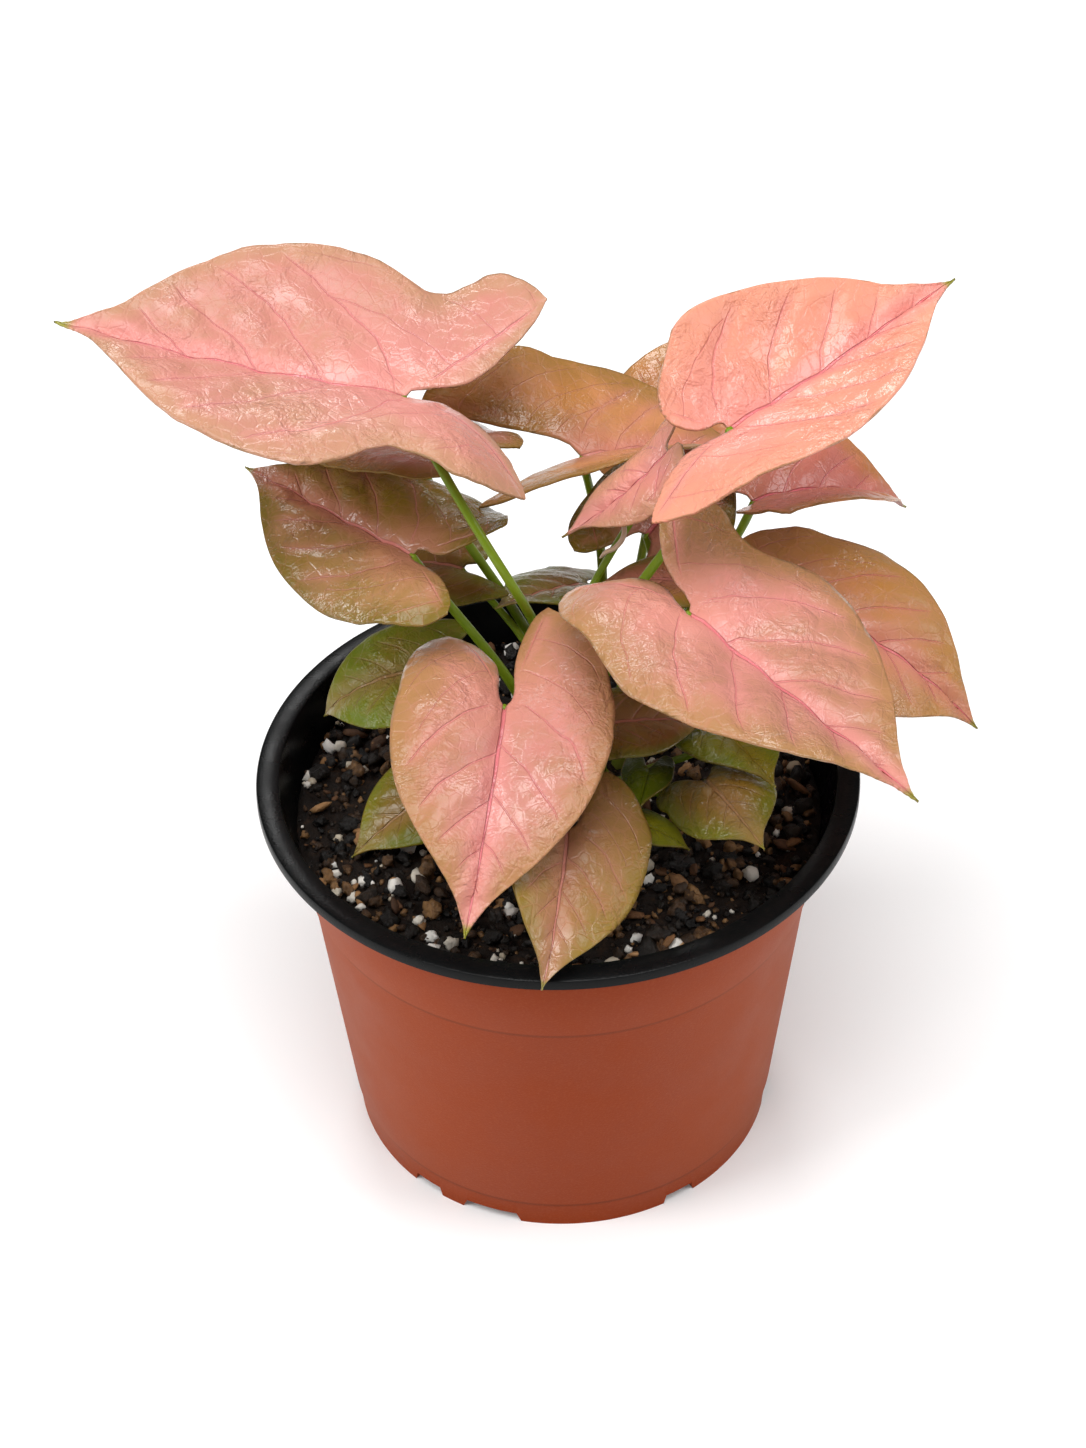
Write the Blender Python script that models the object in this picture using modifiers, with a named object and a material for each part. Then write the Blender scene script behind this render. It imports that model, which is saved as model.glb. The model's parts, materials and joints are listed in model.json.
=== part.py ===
"""A pink arrowhead plant in its two-tone nursery pot.

Metres, +Z up. The origin is the middle of the pot's underside, which stands on the ground plane.
The front of the pot faces -Y. Run with: blender --background --python part.py
"""

import math
import random
from dataclasses import dataclass

import bmesh
import bpy
import numpy as np
from mathutils import Matrix, Vector

# Pot
POT_HEIGHT = 0.1164
RIM_RADIUS = 0.080
LIP_WIDTH = 0.0062
LIP_DEPTH = 0.0036
LIP_ROUND = 0.0007
COLLAR_TOP_RADIUS = 0.0742
COLLAR_FOOT_HEIGHT = 0.103
COLLAR_FOOT_RADIUS = 0.0720
LEDGE_HEIGHT = 0.085
LEDGE_RADIUS = 0.0678
LEDGE_STEP = 0.0009
FOOT_LEDGE_HEIGHT = 0.0092
FOOT_LEDGE_RADIUS = 0.0599
BASE_RADIUS = 0.0586
WALL = 0.0013
FLOOR = 0.0016
LEDGE_EASE = 0.0008
POT_SEGMENTS = 48
NOTCH_HEIGHT = 0.0030
NOTCH_REACH = 0.0070
NOTCH_TAPER = 0.25
# Each notch's middle and width, in degrees from the front, repeated three times round the base
NOTCHES = ((-40.5, 11.0), (-20.5, 19.0), (32.5, 11.0))
NOTCH_REPEATS = 3

# Potting mix
SOIL_TOP = 0.1040
SOIL_LUMPS = 90
SOIL_LUMP_HEIGHT = 0.0032
SOIL_LUMP_SINK = 0.0013
SOIL_LUMP_RADIUS = (0.0035, 0.0080)
SOIL_EDGE_DROP = 0.0020
SOIL_WALL_DROP = 0.0040
SOIL_RINGS = 10
SOIL_SEGMENTS = 36
SOIL_SEED = 11
GAP = 0.0003
SOIL_GAP = 0.0004

# Shoots
STEM_RADIUS = 0.0030
STEM_DEPTH = 0.0140
STEM_SHOW = 0.0120
STEM_TAPER = (1.0, 1.0, 0.8, 0.45)
STEM_SHOULDER = 0.0030
HOLE_CLEARANCE = 0.0006
STALK_RADIUS = 0.0015
SMALL_STALK_RADIUS = 0.0012
STALK_TAPER = 0.72
STALK_SPACING = 0.0015
STALK_POINTS = 8
STALK_BEVEL_STEPS = 1
STALK_END_GAP = 0.0013
# How far the stalk runs straight out of its shoot and into its blade, as shares of the way between
STALK_START = 0.35
STALK_END = 0.30

# Blades
BLADE_THICKNESS = 0.0007
SMALL_BLADE = 0.036
EDGE_WAVE = 0.012
EDGE_WAVES = 2.4
# How long the blade's waist is, as a share of its length
WAIST_REACH = 0.16
# From this share of a lobe's length on, a pointed lobe tapers straight to its end
POINT_START = 0.45

# Half a blade seen flat: the share of its length forward of the stalk, or of its lobe behind it,
# then the share of its width. The outer edge runs from the tip to the lobe's end.
OUTER_EDGE = ((1.0, 0.0), (0.94, 0.045), (0.82, 0.2), (0.64, 0.52), (0.42, 0.82), (0.2, 0.97),
              (0.0, 1.0), (-0.3, 0.96), (-0.62, 0.82), (-0.88, 0.62), (-1.0, 0.42))
INNER_EDGE = ((-1.0, 0.42), (-0.9, 0.3), (-0.68, 0.22), (-0.4, 0.16), (-0.15, 0.12), (-0.03, 0.06),
              (0.0, 0.0))


@dataclass
class Leaf:
    """One blade. Pairs are (left, right), seen from above with the tip ahead; angles are in degrees.

    waist narrows it waist_place behind the stalk, point makes a lobe's end pointed, bulge rounds a lobe's
    inner edge, and fullness broadens it towards the tip. bow and sway bend its stalk.
    """

    name: str
    place: tuple
    length: float
    heading: float
    pitch: float
    roll: float
    shoot: str = "shoot_middle"
    width: tuple = (0.46, 0.46)
    lobe: tuple = (0.42, 0.42)
    splay: tuple = (0.15, 0.15)
    waist: tuple = (0.05, 0.05)
    waist_place: float = 0.12
    point: tuple = (0.0, 0.0)
    bulge: tuple = (0.0, 0.0)
    fullness: float = 0.05
    droop: float = 20
    lobe_droop: tuple = (10, 10)
    fold: tuple = (12, 12)
    curl: tuple = (-30, -30)
    twist: float = 0
    bow: tuple = (0.0, 0.0)
    sway: tuple = (0.0, 0.0)
    colour: str = "pink"


SHOOTS = {
    "shoot_left": (-0.006, 0.017),
    "shoot_back": (0.003, 0.031),
    "shoot_middle": (0.004, 0.019),
    "shoot_right": (0.017, 0.014),
    "shoot_front": (-0.001, 0.005),
    "shoot_low": (0.012, -0.002),
}

LEAF_COLOURS = {
    "pink": (0.78, 0.36, 0.28),
    "coral": (0.86, 0.36, 0.26),
    "mauve": (0.42, 0.20, 0.12),
    "bronze": (0.45, 0.20, 0.08),
    "olive": (0.18, 0.11, 0.03),
    "green": (0.14, 0.16, 0.02),
}

LEAVES = [
    Leaf("leaf_left_top", shoot="shoot_left", colour="pink", place=(-0.037, 0.03, 0.215), length=0.09,
         heading=173, pitch=6, roll=6, lobe=(0.38, 0.39), splay=(0.31, 0.46), droop=-10,
         lobe_droop=(45, -15), fold=(20, 22), curl=(-37, 7), twist=-10, waist=(0.28, 0.22), fullness=0.25,
         point=(0.75, 0.5), waist_place=0.04, bulge=(0.3, 0.2), bow=(0.009, 0.0225),
         sway=(0.0305, -0.07)),
    Leaf("leaf_left_middle", shoot="shoot_left", colour="olive", place=(-0.036, 0.009, 0.181),
         length=0.06, heading=138, pitch=-3, roll=-11, width=(0.45, 0.46), lobe=(0.37, 0.35),
         splay=(0.0, 0.18), droop=-7, lobe_droop=(6, -35), fold=(14, 19), curl=(-41, -57),
         waist=(0.1, 0.05), fullness=0.09, point=(0.1, 0.5), bulge=(0.08, 0.12), bow=(0.004, -0.0055),
         sway=(0.005, 0.0015)),
    Leaf("leaf_front_heart", shoot="shoot_front", colour="coral", place=(-0.0129, -0.0247, 0.1584),
         length=0.062, heading=-97, pitch=-15, roll=-16, width=(0.46, 0.46), lobe=(0.49, 0.45),
         splay=(-0.13, 0.14), droop=26, lobe_droop=(4, 48), fold=(26, 11), curl=(-8, -44), twist=-3,
         waist=(0.03, 0.06), point=(0.15, 0.3), bulge=(0.06, 0.12)),
    Leaf("leaf_right_front", shoot="shoot_right", colour="pink", place=(0.033, -0.018, 0.182),
         length=0.078, heading=-48, pitch=-10, roll=-2, width=(0.46, 0.42), lobe=(0.37, 0.43),
         splay=(0.06, -0.12), droop=-3, lobe_droop=(-30, 50), fold=(16, 16), curl=(-19, -36), twist=-8,
         waist=(0.3, 0.12), waist_place=0.07, bulge=(0.05, 0.24), bow=(0.0005, 0.0005),
         sway=(-0.0005, 0.001)),
    Leaf("leaf_right_top", shoot="shoot_middle", colour="coral", place=(0.044, 0.012, 0.216),
         length=0.076, heading=38, pitch=5, roll=10, width=(0.41, 0.44), lobe=(0.22, 0.42),
         splay=(-0.05, -0.12), droop=-12, lobe_droop=(-20, 32), fold=(20, 22), curl=(25, 10),
         waist=(0.2, 0.11), point=(0.0, 0.4), bulge=(0.05, 0.14), bow=(-0.0155, -0.014),
         sway=(0.0075, 0.011)),
    Leaf("leaf_right_outer", shoot="shoot_right", colour="bronze", place=(0.064, 0.01, 0.162),
         length=0.057, heading=-27, pitch=-10, roll=10, lobe=(0.4, 0.41), splay=(0.07, 0.13), droop=38,
         lobe_droop=(13, 10), fold=(15, 12), twist=3, waist=(0.08, 0.05), fullness=0.09,
         point=(0.2, 0.2)),
    Leaf("leaf_back_arch", shoot="shoot_back", colour="bronze", place=(0.008, 0.049, 0.182), length=0.05,
         heading=16, pitch=0, roll=-1, width=(0.58, 0.48), lobe=(0.66, 0.65), splay=(0.48, 0.28),
         droop=24, lobe_droop=(20, 9), fold=(24, 23), curl=(7, 8), twist=-14, waist=(-0.1, 0.07),
         fullness=-0.07, point=(0.2, 0.5), bow=(0.0175, 0.0135), sway=(0.008, 0.0185)),
    Leaf("leaf_back_right", shoot="shoot_right", colour="coral", place=(0.0536, 0.051, 0.1648),
         length=0.054, heading=25, pitch=-2, roll=3, width=(0.49, 0.48), lobe=(0.39, 0.25),
         splay=(0.18, 0.29), droop=37, lobe_droop=(7, -10), fold=(32, 30), curl=(-16, 1), twist=5,
         fullness=0.09, point=(0.4, 0.4), bow=(-0.001, -0.0015), sway=(-0.0015, -0.0005)),
    Leaf("leaf_left_low", shoot="shoot_left", colour="green", place=(-0.036, 0.008, 0.144), length=0.034,
         heading=-177, pitch=-10, roll=-21, lobe=(0.42, 0.43), splay=(0.16, 0.18), droop=55,
         lobe_droop=(9, 6), fold=(12, 16), curl=(-31, -38), twist=-3, waist=(0.05, 0.08), fullness=0.07),
    Leaf("leaf_front_low", shoot="shoot_front", colour="mauve", place=(0.002, -0.046, 0.1355),
         length=0.043, heading=-95, pitch=-14, roll=-24, width=(0.5, 0.4), lobe=(0.45, 0.3),
         splay=(0.0, 0.05), droop=22, lobe_droop=(4, 20), fold=(16, 14), curl=(-20, -10), twist=-7,
         waist=(-0.03, 0.05), fullness=0.07),
    Leaf("leaf_low_olive", shoot="shoot_low", colour="olive", place=(0.0374, -0.0272, 0.1348),
         length=0.031, heading=-67, pitch=15, roll=12, width=(0.5, 0.45), splay=(0.38, 0.27), droop=25,
         lobe_droop=(30, 26), fold=(0, 1), curl=(-38, -44), twist=4, waist=(0.05, 0.09), fullness=0.13),
    Leaf("leaf_back_top", shoot="shoot_right", colour="pink", place=(0.0305, 0.0899, 0.1616),
         length=0.042, heading=75, pitch=20, roll=-4, splay=(0.15, 0.15), lobe=(0.42, 0.42),
         width=(0.46, 0.46), bow=(-0.0025, 0.0025), sway=(-0.002, 0.002)),
    Leaf("leaf_left_front", shoot="shoot_front", colour="green", place=(-0.032, -0.009, 0.1175),
         length=0.029, heading=-143, pitch=-12, roll=-12, droop=15),
    Leaf("leaf_back_low_left", shoot="shoot_middle", colour="olive", place=(0.0092, 0.0466, 0.1412),
         length=0.036, heading=-138, pitch=24, roll=9, droop=12),
    Leaf("leaf_back_low_right", shoot="shoot_right", colour="olive", place=(0.0328, 0.021, 0.1616),
         length=0.022, heading=171, pitch=1, roll=-5),
    Leaf("leaf_behind_left", shoot="shoot_left", colour="olive", place=(-0.0245, 0.0375, 0.1544),
         length=0.034, heading=152, pitch=-7, roll=-5, lobe=(0.5, 0.14), width=(0.46, 0.4),
         point=(0.5, 0.0), splay=(-0.05, 0.0), bow=(0.0125, 0.0055), sway=(0.006, 0.0015)),
    Leaf("leaf_low_green", shoot="shoot_low", colour="green", place=(0.0408, -0.0093, 0.137), length=0.03,
         heading=-61, pitch=15, roll=-6),
    Leaf("leaf_low_brown", shoot="shoot_low", colour="olive", place=(0.0142, -0.0155, 0.1445),
         length=0.027, heading=12, pitch=-4, roll=8, droop=18),
    Leaf("leaf_low_dark", shoot="shoot_low", colour="green", place=(0.0233, -0.0197, 0.1325),
         length=0.015, heading=-101, pitch=5, roll=0, droop=16),
    Leaf("leaf_low_bright", shoot="shoot_low", colour="green", place=(0.0212, -0.0322, 0.1245),
         length=0.014, heading=-21, pitch=-10, roll=-4),
    Leaf("leaf_under_left", shoot="shoot_back", colour="olive", place=(-0.037, 0.046, 0.19), length=0.059,
         heading=142, pitch=-12, roll=16, lobe_droop=(13, 9), bow=(-0.0055, 0.0085),
         sway=(0.0075, -0.0045)),
    Leaf("leaf_young_rolled", shoot="shoot_middle", colour="pink", place=(0.029, 0.02, 0.203),
         length=0.036, heading=-174, pitch=-55, roll=-4, width=(0.41, 0.36), lobe=(0.2, 0.3),
         splay=(0.1, 0.3), droop=-30, lobe_droop=(-4, 8), fold=(38, 26), curl=(-95, -65), twist=-4,
         waist=(0.06, 0.08), bow=(-0.018, -0.004), sway=(-0.025, 0.0065)),
    Leaf("leaf_behind_young", shoot="shoot_middle", colour="olive", place=(0.025, 0.041, 0.162),
         length=0.043, heading=53, pitch=15, roll=25, lobe=(0.4, 0.42), splay=(0.23, 0.15), droop=17,
         lobe_droop=(3, 10), bow=(0.0035, -0.001), sway=(0.0125, -0.0025)),
]


def new_material(name, colour, roughness):
    """A plain Principled material of one colour."""
    material = bpy.data.materials.new(name)
    material.use_nodes = True
    shader = material.node_tree.nodes["Principled BSDF"]
    shader.inputs["Base Color"].default_value = (*colour, 1.0)
    shader.inputs["Roughness"].default_value = roughness
    shader.inputs["Metallic"].default_value = 0.0
    material.diffuse_color = (*colour, 1.0)
    return material


def link(obj, collection):
    """Puts an object in this collection alone."""
    for other in list(obj.users_collection):
        other.objects.unlink(obj)
    collection.objects.link(obj)
    return obj


def mesh_object(name, build, collection, material=None):
    """Makes an object from a bmesh."""
    bmesh.ops.recalc_face_normals(build, faces=build.faces)
    mesh = bpy.data.meshes.new(name)
    build.to_mesh(mesh)
    build.free()
    obj = bpy.data.objects.new(name, mesh)
    if material:
        mesh.materials.append(material)
    collection.objects.link(obj)
    return obj


def shade(obj, angle=40.0):
    """Shades smooth, with edges sharper than this angle left crisp."""
    obj.data.shade_smooth()
    obj.data.set_sharp_from_angle(angle=math.radians(angle))


def as_cutter(obj):
    """Marks an object that only cuts others."""
    obj.hide_render = True
    obj.display_type = "WIRE"
    return obj


def apply_modifiers(obj):
    """Replaces an object's mesh by the one that its modifiers give."""
    bpy.context.view_layer.update()
    graph = bpy.context.evaluated_depsgraph_get()
    mesh = bpy.data.meshes.new_from_object(obj.evaluated_get(graph))
    old = obj.data
    obj.modifiers.clear()
    obj.data = mesh
    if old.users == 0 and isinstance(old, bpy.types.Mesh):
        bpy.data.meshes.remove(old)


def smooth_path(points, count):
    """A Catmull-Rom curve through these points, as this many of its own."""
    ends = np.vstack([2 * points[0] - points[1], points, 2 * points[-1] - points[-2]])
    spans = len(points) - 1
    path = []
    for step in np.linspace(0.0, spans, count):
        span = min(int(step), spans - 1)
        t = step - span
        a, b, c, d = ends[span:span + 4]
        straight = 2 * b + (c - a) * t
        bend = (2 * a - 5 * b + 4 * c - d) * t**2 + (3 * b - a - 3 * c + d) * t**3
        path.append(0.5 * (straight + bend))
    return np.array(path)


OUTER_PATH = smooth_path(np.array(OUTER_EDGE), 121)[::-1]
INNER_PATH = smooth_path(np.array(INNER_EDGE), 49)


def edge_shares(station, point=0.0, bulge=0.0):
    """The inner and outer edge of a half blade at a station from 1, the tip, to -1, the lobe's end."""
    outer = float(np.interp(station, OUTER_PATH[:, 0], OUTER_PATH[:, 1]))
    if station >= 0:
        return 0.0, outer
    inner = float(np.interp(station, INNER_PATH[:, 0], INNER_PATH[:, 1]))
    inner -= bulge * math.sin(-math.pi * station)
    if point and station < -POINT_START:
        inner_start, outer_start = edge_shares(-POINT_START, 0.0, bulge)
        middle, half = (inner + outer) / 2, (outer - inner) / 2
        tapered = (outer_start - inner_start) / 2 * (1 + station) / (1 - POINT_START)
        half += point * (tapered - half)
        return middle - half, middle + half
    return inner, outer


def flat_point(leaf, side, station, across):
    """A point of the half blade laid flat: along the midrib and out from it, in metres."""
    inner, outer = edge_shares(station, leaf.point[side], leaf.bulge[side])
    if station > 0:
        station += leaf.fullness * 4 * station * (1 - station) ** 2
        x = station * leaf.length
    else:
        x = station * leaf.lobe[side] * leaf.length
    from_waist = (x / leaf.length + leaf.waist_place) / WAIST_REACH
    waist = 1 - leaf.waist[side] * math.exp(-(from_waist**2))
    y = (inner + (outer - inner) * across) * leaf.width[side] * leaf.length * waist
    return x, y + leaf.splay[side] * max(-x, 0.0)


def arc(turn, start, distance):
    """Where a sheet gets to that leaves at angle start and curves by turn radians a metre."""
    turn = turn if abs(turn) > 1e-4 else 1e-4
    out = (math.sin(start + turn * distance) - math.sin(start)) / turn
    up = (math.cos(start) - math.cos(start + turn * distance)) / turn
    return out, up


def bent_point(leaf, side, x, y, wave=0.0):
    """Bends a flat point: along the midrib, out across the half blade, and twisted about the midrib."""
    half = leaf.width[side] * leaf.length
    out, up = arc(math.radians(leaf.curl[side]) / half, math.radians(leaf.fold[side]), y)
    up += wave
    out = out if side == 0 else -out
    twist = math.radians(leaf.twist) * x / leaf.length
    sideways = out * math.cos(twist) - up * math.sin(twist)
    lift = out * math.sin(twist) + up * math.cos(twist)
    if x >= 0:
        turn = math.radians(leaf.droop) / leaf.length
        along, drop = arc(turn, 0.0, x)
        slope = -turn * x
    else:
        turn = math.radians(leaf.lobe_droop[side]) / (leaf.lobe[side] * leaf.length)
        along, drop = arc(turn, 0.0, -x)
        along = -along
        slope = -turn * x
    return Vector((along - math.sin(slope) * lift, sideways, math.cos(slope) * lift - drop))


def leaf_frame(leaf):
    """The blade's own axes in the world: ahead along the midrib, to its left, and up out of it."""
    heading, pitch, roll = (math.radians(a) for a in (leaf.heading, leaf.pitch, leaf.roll))
    level_ahead = Vector((math.cos(heading), math.sin(heading), 0.0))
    ahead = level_ahead * math.cos(pitch) + Vector((0.0, 0.0, math.sin(pitch)))
    level = Vector((-math.sin(heading), math.cos(heading), 0.0))
    left = level * math.cos(roll) + ahead.cross(level) * math.sin(roll)
    up = ahead.cross(left)
    return Matrix((ahead, left, up)).transposed()


def world_point(leaf, frame, side, station, across):
    """A point of the blade's middle surface in the world."""
    x, y = flat_point(leaf, side, station, across)
    phase = 7.0 * leaf.length / SMALL_BLADE + 2.1 * side
    wave = EDGE_WAVE * leaf.length * math.sin(EDGE_WAVES * math.pi * station + phase) * across**2
    return Vector(leaf.place) + frame @ bent_point(leaf, side, x, y, wave * (1 - station**4))


def blade(leaf, collection, material):
    """A heart- or arrow-shaped blade: a grid on each half, joined along the midrib."""
    small = leaf.length < SMALL_BLADE
    ahead, behind, across = (6, 4, 2) if small else (8, 5, 3)
    stations = [math.cos(0.5 * math.pi * i / ahead) for i in range(ahead)]
    stations += [0.0] + [-math.sin(0.5 * math.pi * i / behind) for i in range(1, behind + 1)]
    frame = leaf_frame(leaf)
    build = bmesh.new()
    rows = {}
    for side in (0, 1):
        for i, station in enumerate(stations):
            pointed = i in (0, len(stations) - 1)
            row = []
            for j in range(across + 1):
                if j and pointed:
                    row.append(row[0])
                elif side == 1 and j == 0 and station >= 0:
                    row.append(rows[0, i][0])
                else:
                    point = world_point(leaf, frame, side, station, j / across)
                    row.append(build.verts.new(point))
            rows[side, i] = row
    for side in (0, 1):
        for i in range(len(stations) - 1):
            front, back = rows[side, i], rows[side, i + 1]
            for j in range(across):
                corners = [front[j], front[j + 1], back[j + 1], back[j]]
                ring = list(dict.fromkeys(corners))
                build.faces.new(ring if side == 0 else ring[::-1])
    bmesh.ops.triangulate(build, faces=build.faces, quad_method="FIXED")
    obj = mesh_object(leaf.name, build, collection, material)
    solid = obj.modifiers.new("Thickness", "SOLIDIFY")
    solid.thickness = BLADE_THICKNESS
    solid.offset = 0.0
    obj.data.shade_smooth()
    return obj


def tube(name, points, radii, collection):
    """A round stem through these points, as a closed mesh."""
    curve = bpy.data.curves.new(name, "CURVE")
    curve.dimensions = "3D"
    curve.bevel_depth = 1.0
    curve.bevel_resolution = STALK_BEVEL_STEPS
    curve.use_fill_caps = True
    spline = curve.splines.new("POLY")
    spline.points.add(len(points) - 1)
    for target, point, radius in zip(spline.points, points, radii):
        target.co = (*point, 1.0)
        target.radius = radius
    route = bpy.data.objects.new(name, curve)
    collection.objects.link(route)
    bpy.context.view_layer.update()
    graph = bpy.context.evaluated_depsgraph_get()
    mesh = bpy.data.meshes.new_from_object(route.evaluated_get(graph))
    bpy.data.objects.remove(route)
    build = bmesh.new()
    build.from_mesh(mesh)
    bmesh.ops.remove_doubles(build, verts=build.verts, dist=1e-6)
    bmesh.ops.recalc_face_normals(build, faces=build.faces)
    build.to_mesh(mesh)
    build.free()
    mesh.name = name
    obj = bpy.data.objects.new(name, mesh)
    collection.objects.link(obj)
    return obj


def stalk_route(leaf, base, order):
    """The leaf stalk's line, from inside its shoot to just under the blade."""
    frame = leaf_frame(leaf)
    end = Vector(leaf.place) - frame.col[2] * STALK_END_GAP
    start = Vector((base[0], base[1], SOIL_TOP + STALK_SPACING * order))
    reach = (end - start).length
    arrive = (frame.col[2] * 0.8 + frame.col[0] * 0.35 + Vector((0.0, 0.0, 0.5))).normalized()
    leave = (Vector((0.0, 0.0, 1.0)) + 0.35 * (end - start).normalized()).normalized()
    first = start + leave * STALK_START * reach + Vector((*leaf.bow, 0.0))
    second = end - arrive * STALK_END * reach + Vector((*leaf.sway, 0.0))
    route = []
    for step in range(STALK_POINTS):
        t = step / (STALK_POINTS - 1)
        s = 1 - t
        route.append(s**3 * start + 3 * s * s * t * first + 3 * s * t * t * second + t**3 * end)
    return route


def shoot(name, base, leaves, collection, material):
    """A short stem out of the mix and the stalks of its leaves, grown together."""
    top = SOIL_TOP + STEM_SHOW
    heights = (SOIL_TOP - STEM_DEPTH, SOIL_TOP, top - STEM_SHOULDER, top)
    radii = [STEM_RADIUS * share for share in STEM_TAPER]
    body = tube(name, [(*base, height) for height in heights], radii, collection)
    body.data.materials.append(material)
    stalks = bpy.data.collections.new(name + "_stalks")
    bpy.context.scene.collection.children.link(stalks)
    for order, leaf in enumerate(leaves):
        route = stalk_route(leaf, base, order)
        thick = STALK_RADIUS if leaf.length > SMALL_BLADE else SMALL_STALK_RADIUS
        tube(name + "_stalk", route, np.linspace(thick, thick * STALK_TAPER, len(route)), stalks)
    join = body.modifiers.new("Stalks", "BOOLEAN")
    join.operation = "UNION"
    join.operand_type = "COLLECTION"
    join.collection = stalks
    join.solver = "EXACT"
    apply_modifiers(body)
    for obj in list(stalks.objects):
        bpy.data.objects.remove(obj)
    bpy.data.collections.remove(stalks)
    shade(body)
    return body


def outer_wall():
    """The pot's outside from under the lip to the foot, as (radius, height)."""
    return [
        (COLLAR_TOP_RADIUS, POT_HEIGHT - LIP_DEPTH),
        (COLLAR_FOOT_RADIUS, COLLAR_FOOT_HEIGHT),
        (LEDGE_RADIUS + LEDGE_STEP, LEDGE_HEIGHT + LEDGE_EASE),
        (LEDGE_RADIUS, LEDGE_HEIGHT - LEDGE_EASE),
        (FOOT_LEDGE_RADIUS, FOOT_LEDGE_HEIGHT + LEDGE_EASE),
        (FOOT_LEDGE_RADIUS - LEDGE_STEP, FOOT_LEDGE_HEIGHT - LEDGE_EASE),
        (BASE_RADIUS, 0.0),
    ]


def pot_profile():
    """The pot's half section: floor, up the inside, over the lip, down the outside and back to the axis."""
    inside = [(radius - WALL, height) for radius, height in outer_wall()[1:-1]][::-1]
    lip_inner = RIM_RADIUS - LIP_WIDTH
    lip = [
        (lip_inner - 0.0004, POT_HEIGHT - LIP_DEPTH),
        (lip_inner, POT_HEIGHT - LIP_ROUND),
        (lip_inner + LIP_ROUND, POT_HEIGHT),
        (RIM_RADIUS - LIP_ROUND, POT_HEIGHT),
        (RIM_RADIUS, POT_HEIGHT - LIP_ROUND),
        (RIM_RADIUS, POT_HEIGHT - LIP_DEPTH + LIP_ROUND),
        (RIM_RADIUS - LIP_ROUND, POT_HEIGHT - LIP_DEPTH),
    ]
    floor = [(0.0, FLOOR), (BASE_RADIUS - WALL, FLOOR)]
    return floor + inside + lip + outer_wall() + [(0.0, 0.0)]


def lathe(name, profile, segments, collection, material):
    """Turns a profile about Z."""
    build = bmesh.new()
    points = [build.verts.new((radius, 0.0, height)) for radius, height in profile]
    for start, end in zip(points, points[1:]):
        build.edges.new((start, end))
    mesh = bpy.data.meshes.new(name)
    build.to_mesh(mesh)
    build.free()
    mesh.materials.append(material)
    obj = bpy.data.objects.new(name, mesh)
    collection.objects.link(obj)
    turn = obj.modifiers.new("Turn", "SCREW")
    turn.steps = segments
    turn.render_steps = segments
    turn.use_merge_vertices = True
    turn.merge_threshold = 0.00001
    turn.use_smooth_shade = True
    return obj


def cut(obj, cutters):
    """Cuts every object of a collection out of this one."""
    modifier = obj.modifiers.new("Cut", "BOOLEAN")
    modifier.operation = "DIFFERENCE"
    modifier.operand_type = "COLLECTION"
    modifier.collection = cutters
    modifier.solver = "EXACT"


def new_collection(name, parent):
    """Makes a collection inside another."""
    collection = bpy.data.collections.new(name)
    parent.children.link(collection)
    return collection


def pot(collection, cutters, material):
    """The nursery pot, with its drainage notches cut through the foot."""
    body = lathe("pot", pot_profile(), POT_SEGMENTS, collection, material)
    notches = new_collection("notch_cutters", cutters)
    for repeat in range(NOTCH_REPEATS):
        for middle, width in NOTCHES:
            angle = math.radians(middle + repeat * 360.0 / NOTCH_REPEATS - 90.0)
            bpy.ops.mesh.primitive_cube_add(size=1.0)
            box = link(bpy.context.object, notches)
            box.name = "notch_cutter"
            breadth = math.radians(width) * BASE_RADIUS
            for vertex in box.data.vertices:
                taper = 1.0 - NOTCH_TAPER * (vertex.co.z + 0.5)
                vertex.co.x *= 2 * NOTCH_REACH
                vertex.co.y *= breadth * taper
                vertex.co.z *= 2 * NOTCH_HEIGHT
            box.location = (BASE_RADIUS * math.cos(angle), BASE_RADIUS * math.sin(angle), 0.0)
            box.rotation_euler = (0.0, 0.0, angle)
            as_cutter(box)
    cut(body, notches)
    return body


def soil_height(x, y, lumps):
    """How high the mix stands at a place: level, with rounded lumps."""
    height = 0.0
    for px, py, radius, rise in lumps:
        near = 1 - ((x - px) ** 2 + (y - py) ** 2) / radius**2
        if near > 0:
            height = max(height, rise * math.sqrt(near))
    return SOIL_TOP + height - SOIL_LUMP_SINK


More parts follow.
